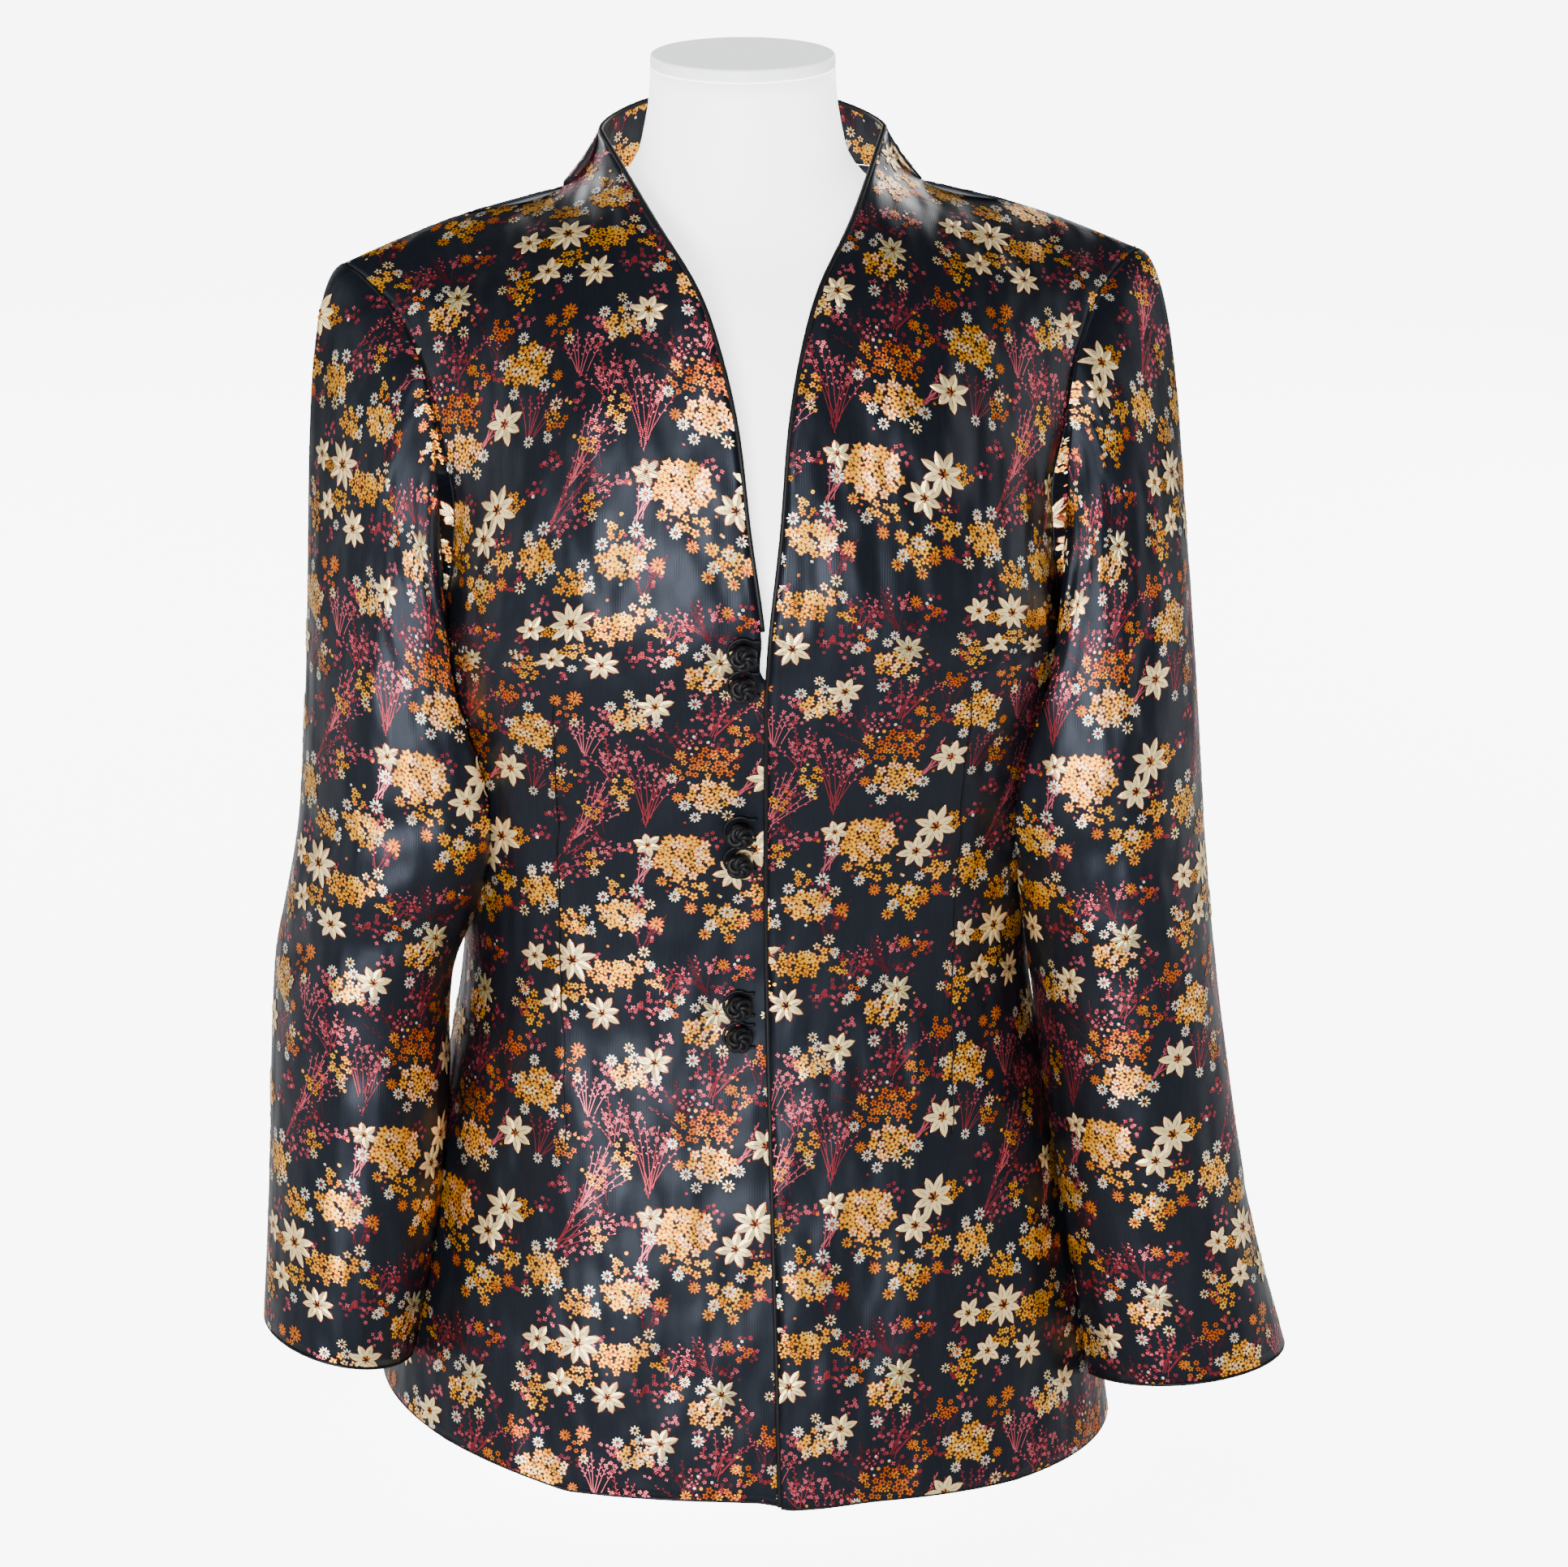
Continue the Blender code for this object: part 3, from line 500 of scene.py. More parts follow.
def weave_bump(tree, shader, rib, turn, depth):
    """Ribs of thread and fine fibres, over slow waves that the hanging satin keeps between its folds.
    All follow the cloth's own UV map, which is in metres, so ground and flowers share the waves. It
    returns the turned UV map."""
    place = add_node(tree, "ShaderNodeTexCoord")
    hanging = add_node(
        tree, "ShaderNodeMapping", {"Vector": place.outputs["UV"]}, {"Scale": (1.0, 0.45, 1.0)})
    waves = add_node(
        tree, "ShaderNodeTexNoise", {"Vector": hanging.outputs["Vector"]},
        {"Scale": 26.0, "Detail": 2.0, "Roughness": 0.55})
    slow = add_node(
        tree, "ShaderNodeBump", {"Height": waves.outputs["Fac"]},
        {"Strength": 1.0, "Distance": WAVE_DEPTH})
    turned = add_node(
        tree, "ShaderNodeMapping", {"Vector": place.outputs["UV"]}, {"Rotation": (0, 0, radians(turn))})
    ribs = add_node(
        tree, "ShaderNodeTexWave", {"Vector": turned.outputs["Vector"]},
        {"Scale": WAVE_TURN / rib, "Distortion": 1.2, "Detail": 1.0}, bands_direction="Y")
    fibres = add_node(
        tree, "ShaderNodeTexNoise", {"Vector": turned.outputs["Vector"]},
        {"Scale": FIBRE_SCALE, "Detail": 2.0})
    both = add_node(
        tree, "ShaderNodeMath", {0: ribs.outputs["Fac"], 1: fibres.outputs["Fac"]}, operation="ADD")
    fine = add_node(
        tree, "ShaderNodeBump", {"Height": both.outputs["Value"], "Normal": slow.outputs["Normal"]},
        {"Strength": 0.5, "Distance": depth})
    tree.links.new(fine.outputs["Normal"], shader.inputs["Normal"])
    return turned


# %% Satin ground of the brocade
GROUND_RIB, THREAD_RIB, BIAS_RIB = 0.0008, 0.0010, 0.0009  # between the ribs that are drawn


def satin_ground(name, dark, light, roughness):
    """Warp-faced satin: two close shades of blue-black in streaks along the warp, under fine ribs."""
    material, tree, shader = new_material(name, {
        "Roughness": roughness, "Specular IOR Level": 0.24, "Specular Tint": linear("#b8c4d8")})
    ribbed = weave_bump(tree, shader, GROUND_RIB, 90, 0.00006)
    along = add_node(
        tree, "ShaderNodeMapping", {"Vector": ribbed.outputs["Vector"]}, {"Scale": (1.0, 9.0, 1.0)})
    streaks = add_node(
        tree, "ShaderNodeTexNoise", {"Vector": along.outputs["Vector"]}, {"Scale": 90.0, "Detail": 3.0})
    shade = add_node(
        tree, "ShaderNodeMix", {0: streaks.outputs["Fac"]}, {6: linear(dark), 7: linear(light)},
        data_type="RGBA")
    tree.links.new(shade.outputs[2], shader.inputs["Base Color"])
    return material


ground = satin_ground("blue-black warp satin", "#060709", "#0d1017", 0.40)

# %% Thread colours of the woven flowers
THREADS = {
    "cream rayon": "#f3d699",
    "shaded cream rayon": "#b9ad7c",
    "grey-green rayon": "#5d5c3c",
    "white rayon": "#dcd9c4",
    "straw rayon": "#e4b02e",
    "light gold rayon": "#e09a04",
    "gold rayon": "#de8c00",
    "orange rayon": "#c65c00",
    "rust rayon": "#672404",
    "rose rayon": "#bd505c",
    "deep rose rayon": "#87242f",
    "burgundy rayon": "#50101a",
}
CREAM, SHADED, GREYGREEN, WHITE, STRAW, LIGHTGOLD, GOLD, ORANGE, RUST, ROSE, DEEPROSE, BURGUNDY = range(12)


def thread_material(name, colour):
    """One dyed rayon thread: a plain colour with a dull metal's shine, ribbed slantwise."""
    material, tree, shader = new_material(name, {
        "Base Color": linear(colour), "Roughness": 0.36, "Metallic": 0.80, "Specular IOR Level": 0.5})
    weave_bump(tree, shader, THREAD_RIB, 25, 0.00018)
    return material


threads = [thread_material(name, colour) for name, colour in THREADS.items()]
print(len(threads), "thread colours")

# %% Black satin of the piping and knots, and the form's plastics
def bias_satin(name, dark, light):
    """Satin cut on the bias and rolled: the ribs run slantwise along the cord."""
    material, tree, shader = new_material(name, {
        "Roughness": 0.48, "Specular IOR Level": 0.14})
    place = add_node(tree, "ShaderNodeTexCoord")
    ribs = add_node(
        tree, "ShaderNodeTexWave", {"Vector": place.outputs["Object"]},
        {"Scale": WAVE_TURN / BIAS_RIB, "Distortion": 1.0}, bands_direction="DIAGONAL")
    uneven = add_node(
        tree, "ShaderNodeTexNoise", {"Vector": place.outputs["Object"]}, {"Scale": 160.0, "Detail": 3.0})
    shade = add_node(
        tree, "ShaderNodeMix", {0: uneven.outputs["Fac"]}, {6: linear(dark), 7: linear(light)},
        data_type="RGBA")
    tree.links.new(shade.outputs[2], shader.inputs["Base Color"])
    bump = add_node(
        tree, "ShaderNodeBump", {"Height": ribs.outputs["Fac"]}, {"Strength": 0.3, "Distance": 0.00008})
    tree.links.new(bump.outputs["Normal"], shader.inputs["Normal"])
    return material


def moulded_plastic(name, colour, roughness, glow):
    """Moulded and sprayed: plain colour, with the faint orange peel that a sprayed shell keeps. The glow
    stands for the light that a white studio throws back at a white form."""
    material, tree, shader = new_material(name, {
        "Base Color": linear(colour), "Roughness": roughness,
        "Emission Color": linear(colour), "Emission Strength": glow})
    place = add_node(tree, "ShaderNodeTexCoord")
    peel = add_node(
        tree, "ShaderNodeTexNoise", {"Vector": place.outputs["Object"]}, {"Scale": 420.0, "Detail": 2.0})
    bump = add_node(
        tree, "ShaderNodeBump", {"Height": peel.outputs["Fac"]}, {"Strength": 0.1, "Distance": 0.0001})
    tree.links.new(bump.outputs["Normal"], shader.inputs["Normal"])
    return material


satin = bias_satin("black bias-cut satin", "#050506", "#0d0d10")
form_skin = moulded_plastic("white sprayed plastic", "#f8f8f9", 0.5, 2.6)
cap_skin = moulded_plastic("pale grey moulded plastic", "#eceeee", 0.45, 1.3)

# %% [markdown]
# ## Creases
#
# The satin hangs almost smooth, with a few soft folds: at the bend of each elbow, below the bust, and
# in the flare of the skirt. Each one is placed on the flat cloth as a line with a width and a
# depth, and the cloth is moved along its normal by a soft bell across that line. A negative depth is a
# trough. A waist dart is a trough too narrow for the grid, which dents it only where a grid point lies
# on the line, so its seam is laid on further down as a fine cord.

# %% Creases, listed one by one
Crease = namedtuple("Crease", "x0 y0 x1 y1 width depth")  # metres on the flat cloth
CREASES = {
    "front_left": (
        Crease(0.100, -0.245, 0.103, -0.020, 0.0013, -0.0007),  # waist dart
        Crease(0.150, -0.020, 0.090, -0.075, 0.012, -0.0014),
        Crease(0.160, -0.060, 0.112, -0.140, 0.010, 0.0011),
        Crease(0.132, -0.330, 0.122, -0.240, 0.014, -0.0020),
        Crease(0.070, -0.400, 0.078, -0.250, 0.020, 0.0016),
        Crease(0.035, -0.170, 0.125, -0.190, 0.012, -0.0009),
        Crease(0.120, 0.060, 0.090, 0.000, 0.013, -0.0012),
        Crease(0.065, 0.120, 0.110, 0.150, 0.016, 0.0010),
    ),
    "front_right": (
        Crease(-0.100, -0.245, -0.103, -0.020, 0.0013, -0.0007),  # waist dart
        Crease(-0.155, -0.030, -0.085, -0.090, 0.013, -0.0015),
        Crease(-0.165, -0.075, -0.110, -0.120, 0.010, 0.0012),
        Crease(-0.140, -0.350, -0.118, -0.230, 0.015, -0.0022),
        Crease(-0.075, -0.410, -0.070, -0.270, 0.018, 0.0014),
        Crease(-0.040, -0.185, -0.130, -0.200, 0.011, -0.0010),
        Crease(-0.125, 0.075, -0.085, 0.010, 0.014, -0.0013),
        Crease(-0.060, 0.110, -0.105, 0.160, 0.015, 0.0009),
    ),
    "back": (
        Crease(-0.085, -0.250, -0.088, -0.040, 0.0013, -0.0007),  # waist darts
        Crease(0.085, -0.250, 0.088, -0.040, 0.0013, -0.0007),
        Crease(-0.120, -0.150, 0.010, -0.175, 0.013, -0.0013),
        Crease(0.130, -0.140, 0.020, -0.200, 0.011, -0.0012),
        Crease(-0.060, -0.420, -0.050, -0.280, 0.020, 0.0018),
        Crease(0.045, -0.420, 0.060, -0.260, 0.017, -0.0016),
        Crease(-0.130, 0.090, -0.085, 0.000, 0.014, -0.0013),
        Crease(0.128, 0.080, 0.090, 0.010, 0.015, -0.0014),
        Crease(0.000, 0.150, 0.015, 0.040, 0.018, -0.0010),
    ),
    "sleeve_left": (
        Crease(-0.075, 0.420, -0.060, 0.300, 0.011, -0.0018),
        Crease(-0.105, 0.300, -0.045, 0.268, 0.009, -0.0020),
        Crease(-0.120, 0.262, -0.060, 0.236, 0.008, 0.0014),
        Crease(-0.100, 0.225, -0.035, 0.215, 0.009, -0.0015),
        Crease(0.060, 0.280, 0.115, 0.255, 0.009, -0.0016),
        Crease(-0.020, 0.090, -0.030, 0.180, 0.014, 0.0015),
        Crease(0.045, 0.060, 0.035, 0.200, 0.013, -0.0014),
        Crease(0.090, 0.380, 0.060, 0.300, 0.012, -0.0015),
    ),
    "sleeve_right": (
        Crease(0.120, 0.300, 0.020, 0.262, 0.008, -0.0026),  # elbow
        Crease(0.115, 0.272, 0.035, 0.225, 0.007, 0.0017),
        Crease(0.120, 0.240, 0.015, 0.195, 0.008, -0.0028),
        Crease(0.100, 0.205, 0.030, 0.170, 0.008, 0.0015),
        Crease(0.110, 0.165, 0.050, 0.140, 0.009, -0.0017),
        Crease(-0.060, 0.290, -0.110, 0.260, 0.010, -0.0016),
        Crease(0.090, 0.450, 0.050, 0.350, 0.012, -0.0019),
        Crease(-0.015, 0.110, -0.010, 0.210, 0.014, 0.0015),
        Crease(0.055, 0.090, 0.075, 0.030, 0.010, 0.0013),
    ),
}


FADE_STEPS = 4  # grid steps over which creases die away towards a cut edge


def normals_of(points):
    """The outward normal at each point of a panel whose rows run right and whose columns run up."""
    return unit(np.cross(np.gradient(points, axis=1), np.gradient(points, axis=0)))


def panel_normals(panel):
    """The outward normals of a panel, which agree along a closed one's seam."""
    normals = normals_of(panel.points)
    if panel.closed:
        seam = unit(normals[:, 0] + normals[:, -1])
        normals[:, 0], normals[:, -1] = seam, seam
    return normals


def creased(panel):
    """The panel with its creases pressed in. They die away towards its cut edges, which stay put."""
    push = np.zeros(panel.across.shape)
    for crease in CREASES.get(panel.name, ()):
        start = np.array([crease.x0, crease.y0])
        line = np.array([crease.x1, crease.y1]) - start
        length = np.linalg.norm(line)
        line = line / length
        x, y = panel.across - start[0], panel.up - start[1]
        along = (x * line[0] + y * line[1]) / length
        beside = x * -line[1] + y * line[0]
        ends = np.clip(1.15 - np.abs(2 * along - 1) ** 3, 0, 1)
        push += crease.depth * np.exp(-((beside / crease.width) ** 2)) * ends
    rows, columns = (
        np.clip(np.minimum(np.arange(count), np.arange(count)[::-1]) / FADE_STEPS, 0, 1)
        for count in push.shape)
    fade = rows[:, None] * (1 if panel.closed else columns)
    return panel._replace(points=panel.points + panel_normals(panel) * (push * fade)[..., None])


PANELS = {name: creased(panel) for name, panel in PANELS.items()}
print("creases pressed into", len(CREASES), "panels")

# %% [markdown]
# ## Shells
#
# Each shell starts as a flat bmesh grid with as many points as its panel, and every point is then moved
# to its place in space, while its place on the flat cloth becomes its UV. A Solidify modifier gives the
# cloth its thickness, inwards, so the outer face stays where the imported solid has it. A cloth
# simulation could drape the panels, but the jacket is tailored: its form is in the cut, not in the
# drape, and this keeps it exactly.

# %% Making a shell
SHELL_WALL = 0.0010  # brocade with its lining


def mesh_of(bm, name, soft=True):
    """The mesh made from a bmesh, which is freed. Its faces are shaded smooth unless soft is False."""
    mesh = bpy.data.meshes.new(name)
    bm.to_mesh(mesh)
    bm.free()
    if soft:
        mesh.shade_smooth()
    return mesh


def finished(name, mesh, materials, replaces=()):
    """An object at the origin for a finished mesh, which rides on the frame."""
    piece = bpy.data.objects.new(name, mesh)
    bpy.context.scene.collection.objects.link(piece)
    for material in materials:
        mesh.materials.append(material)
    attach(piece, "root")
    if replaces:
        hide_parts(*replaces)
    return piece


def shell(panel):
    """The cloth of one panel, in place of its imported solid."""
    tall, wide = panel.across.shape
    bm = bmesh.new()
    bmesh.ops.create_grid(bm, x_segments=wide - 1, y_segments=tall - 1, size=0.5)
    uv = bm.loops.layers.uv.new("flat cloth in metres")
    for vert in bm.verts:
        column, row = round((vert.co.x + 0.5) * (wide - 1)), round((vert.co.y + 0.5) * (tall - 1))
        for loop in vert.link_loops:
            loop[uv].uv = (panel.across[row, column], panel.up[row, column])
        vert.co = panel.points[row, column]
    if panel.closed:
        bmesh.ops.remove_doubles(bm, verts=bm.verts, dist=1e-6)
    name = panel.name + "_cloth"
    piece = finished(name, mesh_of(bm, name), [ground], [panel.name])
    wall = piece.modifiers.new("cloth thickness", "SOLIDIFY")
    wall.thickness, wall.offset = SHELL_WALL, -1
    return piece


shells = {name: shell(panel) for name, panel in PANELS.items()}
for name, piece in shells.items():
    print(name, len(piece.data.polygons), "faces")

# %% [markdown]
# ## Woven flowers
#
# The brocade's figure is a repeat about 130 mm wide and 198 mm high. It is charted here as a flat tile,
# from a few kinds of flower, each modelled once with a handful of small faces: circles squeezed into
# petals and turned about a centre, or a narrow grid bent into a lily's petal. The tile could be painted
# as a shader pattern, but real petals keep crisp at any distance, catch the light as raised floats do,
# and carry their thread colours in their own faces.

# %% Petals, florets and lilies
Sprig = namedtuple("Sprig", "points corners sizes threads")  # arrays: points, loops, sides and slots
MM = 0.001


def read_sprig(bm):
    """A small flat mesh as arrays, with every face turned up."""
    bm.normal_update()
    for face in bm.faces:
        if face.normal.z < 0:
            face.normal_flip()
    bm.verts.index_update()
    sprig = Sprig(
        np.array([vert.co for vert in bm.verts]),
        np.array([vert.index for face in bm.faces for vert in face.verts]),
        np.array([len(face.verts) for face in bm.faces]),
        np.array([face.material_index for face in bm.faces]))
    bm.free()
    return sprig


def turned(bm, verts, angle):
    """Turns these points about the flower's centre, flat on the cloth."""
    bmesh.ops.rotate(bm, cent=(0, 0, 0), matrix=Matrix.Rotation(angle, 3, "Z"), verts=verts)


def dyed(verts, thread):
    """Gives one thread colour to every face that these points belong to."""
    for face in {face for vert in verts for face in vert.link_faces}:
        face.material_index = thread


def add_petals(bm, count, inner, outer, width, thread, sides=5, lift=0.0, turn=0.0):
    """Flat oval petals round the centre, in millimetres. A count of 1 with inner = -outer is a disc."""
    for k in range(count):
        verts = bmesh.ops.create_circle(bm, cap_ends=True, segments=sides, radius=1.0)["verts"]
        bmesh.ops.scale(bm, vec=(width / 2, (outer - inner) / 2, 1), verts=verts)
        bmesh.ops.translate(bm, vec=(0, (inner + outer) / 2, lift), verts=verts)
        turned(bm, verts, turn + 2 * pi * k / count)
        dyed(verts, thread)


def add_long_petal(bm, length, width, start, thread, lift, crown, angle):
    """One pointed petal as a narrow grid, highest along its midrib."""
    verts = bmesh.ops.create_grid(bm, x_segments=2, y_segments=4, size=0.5)["verts"]
    for vert in verts:
        side, along = vert.co.x * 2, vert.co.y + 0.5
        spread = max(0.05, sin(pi * (0.10 + 0.90 * along))) ** 0.8
        height = lift + crown * (1 - abs(side)) * sin(pi * (0.12 + 0.76 * along))
        vert.co = (side * spread * width / 2, start + along * length, height)
    turned(bm, verts, angle)
    dyed(verts, thread)


def lily(radius, petals, petal_thread, rib_thread, outline_thread):
    """A lily: pointed petals that stand apart, each outlined and ribbed, round a dark and gold eye."""
    bm = bmesh.new()
    width = 2 * pi * 0.55 * radius / petals * 0.82
    for k in range(petals):
        angle = 2 * pi * k / petals
        length = radius * (0.97 if k % 2 else 0.86)
        add_petals(bm, 1, radius * 0.12, length + 0.5, width + 0.7, outline_thread, 6, 0.08, angle)
        add_long_petal(bm, length - radius * 0.14, width, radius * 0.14, petal_thread, 0.16, 0.34, angle)
        add_petals(bm, 1, radius * 0.26, length * 0.78, 0.42, rib_thread, 4, 0.50, angle)
    add_petals(bm, 6, radius * 0.05, radius * 0.27, radius * 0.12, BURGUNDY, 4, 0.54, 0.3)
    add_petals(bm, 5, radius * 0.08, radius * 0.22, radius * 0.09, GOLD, 4, 0.60, 0.9)
    return read_sprig(bm)


def floret(petals, backing, front, centre, sides):
    """A hydrangea floret of radius 1: a notched backing, its petals and a small centre."""
    bm = bmesh.new()
    if backing is not None:
        verts = bmesh.ops.create_circle(bm, cap_ends=True, segments=2 * petals, radius=1.0)["verts"]
        for k, vert in enumerate(verts):
            vert.co *= 1.04 if k % 2 == 0 else 0.60
            vert.co.z = 0.05
        turned(bm, verts, pi / 2 - atan2(verts[0].co.y, verts[0].co.x))
        dyed(verts, backing)
    add_petals(bm, petals, 0.20, 0.84, 0.50, front, sides, 0.15)
    add_petals(bm, 1, -0.20, 0.20, 0.40, centre, 4, 0.24)
    return read_sprig(bm)


def daisy(petals, front, centre, inner_ring=None):
    """A daisy of radius 1: separate narrow petals, sometimes a second ring, and an eye."""
    bm = bmesh.new()
    add_petals(bm, petals, 0.26, 1.0, 0.30, front, 5, 0.12)
    if inner_ring is not None:
        add_petals(bm, 6, 0.14, 0.50, 0.22, inner_ring, 4, 0.20, 0.3)
    add_petals(bm, 1, -0.18, 0.18, 0.36, centre, 5, 0.26)
    return read_sprig(bm)


def blossom(petals, front):
    """A tiny open blossom of radius 1, of loose oval petals."""
    bm = bmesh.new()
    add_petals(bm, petals, 0.10, 1.0, 0.66, front, 4, 0.10)
    return read_sprig(bm)


def berry(thread):
    """A plain round dot of radius 1."""
    bm = bmesh.new()
    add_petals(bm, 1, -1.0, 1.0, 2.0, thread, 6, 0.12)
    return read_sprig(bm)


def stem(length, bend, thread, bud_thread, buds):
    """A thin curved stem that rises along +Y, with small oval buds up its sides."""
    bm = bmesh.new()
    verts = bmesh.ops.create_grid(bm, x_segments=1, y_segments=4, size=0.5)["verts"]
    for vert in verts:
        along = vert.co.y + 0.5
        half = 0.21 * (1 - 0.4 * along)
        vert.co = (vert.co.x * 2 * half + bend * along**2, along * length, 0.05)
    dyed(verts, thread)
    for k in range(buds):
        along = 1 - 0.55 * k / buds
        made = bmesh.ops.create_circle(bm, cap_ends=True, segments=4, radius=1.0)["verts"]
        bmesh.ops.scale(bm, vec=(0.40, 0.85, 1), verts=made)
        side = 0 if k == 0 else (1 if k % 2 else -1)  # the first bud sits at the tip
        turned(bm, made, 0.75 * side)
        bmesh.ops.translate(
            bm, vec=(bend * along**2 - 0.7 * side, along * length + 0.4, 0.10), verts=made)
        dyed(made, bud_thread)
    return read_sprig(bm)


print("a lily has", len(lily(12, 9, CREAM, GREYGREEN, GOLD).sizes), "faces")

# %% [markdown]
# ## Charting the repeat
#
# The chart is in millimetres from the repeat's lower left corner. Lilies and single daisies are placed
# one by one. A cluster is an oval that is filled with florets by a seeded draw, which gives the crowded,
# uneven look of the woven ones and comes out the same each time.

# %% The chart
REPEAT = (130.0, 198.0)
LILIES = (  # x, y, radius, petals, turn in degrees, petal, midrib
    (42, 121, 13.0, 9, 8, CREAM, GREYGREEN), (21, 121, 8.5, 6, 25, CREAM, GREYGREEN),
    (32, 99, 8.5, 6, 50, CREAM, GREYGREEN), (57, 94, 10.0, 8, 15, CREAM, GREYGREEN),
    (83, 70, 9.5, 7, 30, CREAM, GREYGREEN), (114, 96, 9.0, 8, 5, SHADED, RUST),
    (2, 185, 12.5, 8, 20, CREAM, GREYGREEN), (122, 172, 10.5, 7, 44, CREAM, GREYGREEN),
    (80, 188, 7.5, 6, 12, CREAM, GREYGREEN), (8, 27, 11.0, 7, 33, CREAM, GREYGREEN),
)
# petals, backing, front and centre of the florets that a cluster mixes
MIXED, HYDRANGEA, GOLDEN, ORANGEY = (
    ((5, ORANGE, STRAW, RUST), (5, RUST, LIGHTGOLD, DEEPROSE), (5, RUST, CREAM, RUST)),
    ((5, ORANGE, STRAW, RUST), (5, RUST, LIGHTGOLD, BURGUNDY), (5, ORANGE, CREAM, ROSE)),
    ((5, RUST, LIGHTGOLD, RUST), (5, RUST, GOLD, ORANGE), (6, RUST, STRAW, BURGUNDY)),
    ((6, None, ORANGE, BURGUNDY), (5, None, GOLD, RUST), (5, RUST, ORANGE, BURGUNDY)),
)
CLUSTERS = (  # x, y, half width, half height, florets, floret radius, palette
    (97, 181, 18, 15, 42, 3.4, HYDRANGEA), (62, 115, 14, 10, 22, 3.1, GOLDEN),
    (43, 104, 9, 7, 9, 2.9, GOLDEN), (67, 147, 15, 10, 26, 3.1, MIXED),
    (42, 141, 11, 8, 13, 3.0, GOLDEN), (24, 158, 12, 11, 19, 3.2, MIXED),
    (107, 86, 14, 9, 17, 3.1, HYDRANGEA), (71, 63, 12, 9, 15, 3.0, MIXED),
    (111, 19, 15, 10, 22, 3.2, HYDRANGEA), (19, 92, 9, 10, 12, 2.9, GOLDEN),
    (118, 148, 12, 9, 14, 3.0, GOLDEN), (22, 52, 16, 12, 30, 3.3, MIXED),
    (102, 163, 10, 6, 8, 2.9, GOLDEN), (74, 120, 8, 7, 8, 2.7, MIXED),
    (5, 160, 8, 7, 8, 3.0, MIXED), (112, 38, 14, 11, 22, 2.7, ORANGEY),
    (99, 33, 9, 7, 8, 2.5, ORANGEY), (126, 52, 6, 8, 7, 2.3, ORANGEY),
    (13, 187, 7, 7, 8, 2.7, GOLDEN), (67, 22, 7, 8, 10, 2.5, GOLDEN),
    (53, 178, 6, 6, 7, 2.3, GOLDEN), (92, 99, 5, 7, 5, 2.3, ORANGEY),
    (40, 66, 6, 5, 5, 2.2, ORANGEY), (125, 118, 5, 4, 4, 2.3, ORANGEY),
    (8, 72, 8, 7, 9, 2.6, ORANGEY), (36, 22, 7, 7, 8, 2.5, ORANGEY),
    (52, 8, 6, 5, 5, 2.4, GOLDEN), (33, 118, 7, 6, 7, 2.7, GOLDEN),
    (84, 112, 6, 5, 5, 2.3, GOLDEN), (64, 163, 6, 5, 5, 2.4, GOLDEN),
)
ASTERS = (  # orange daisies with two rings: x, y, radius
    (93, 142, 4.6), (101, 149, 3.9), (110, 152, 4.0), (127, 144, 4.3), (3, 139, 4.1), (104, 134, 4.0),
    (110, 125, 3.9), (47, 79, 5.0), (94, 45, 3.6), (88, 17, 3.7), (118, 58, 3.5), (121, 133, 3.7),
    (12, 108, 3.4), (31, 75, 3.8), (86, 166, 3.4), (44, 40, 3.3),
)
DAISIES = (  # x, y, radius
    (76, 177, 4.6), (77, 166, 4.8), (85, 156, 3.9), (92, 158, 3.9), (76, 146, 4.2), (27, 146, 4.2),
    (32, 151, 4.0), (58, 157, 4.0), (80, 131, 3.9), (90, 96, 3.6), (100, 66, 4.3), (118, 75, 4.2),
    (111, 143, 4.2), (119, 150, 4.4), (9, 136, 4.2), (13, 105, 3.6), (49, 149, 4.2), (73, 62, 3.6),
    (60, 71, 3.9), (42, 84, 3.4), (70, 83, 3.4), (97, 104, 3.6), (103, 100, 3.4), (113, 11, 4.4),
    (96, 12, 4.0), (101, 3, 3.8), (120, 5, 4.2), (125, 14, 4.2), (31, 176, 4.5), (38, 163, 3.6),
    (20, 66, 3.9), (31, 40, 3.9), (37, 33, 4.2), (14, 40, 3.8), (86, 92, 3.6), (66, 59, 3.6),
    (82, 121, 3.2), (107, 112, 3.2), (4, 118, 3.4), (52, 138, 3.6), (73, 72, 3.6), (46, 56, 3.4),
    (90, 28, 3.6), (3, 8, 3.6), (68, 8, 3.4), (20, 170, 3.6), (125, 158, 3.6), (54, 168, 3.2),
    (88, 60, 3.4), (9, 55, 3.6), (2, 96, 3.4), (30, 12, 3.2),
)
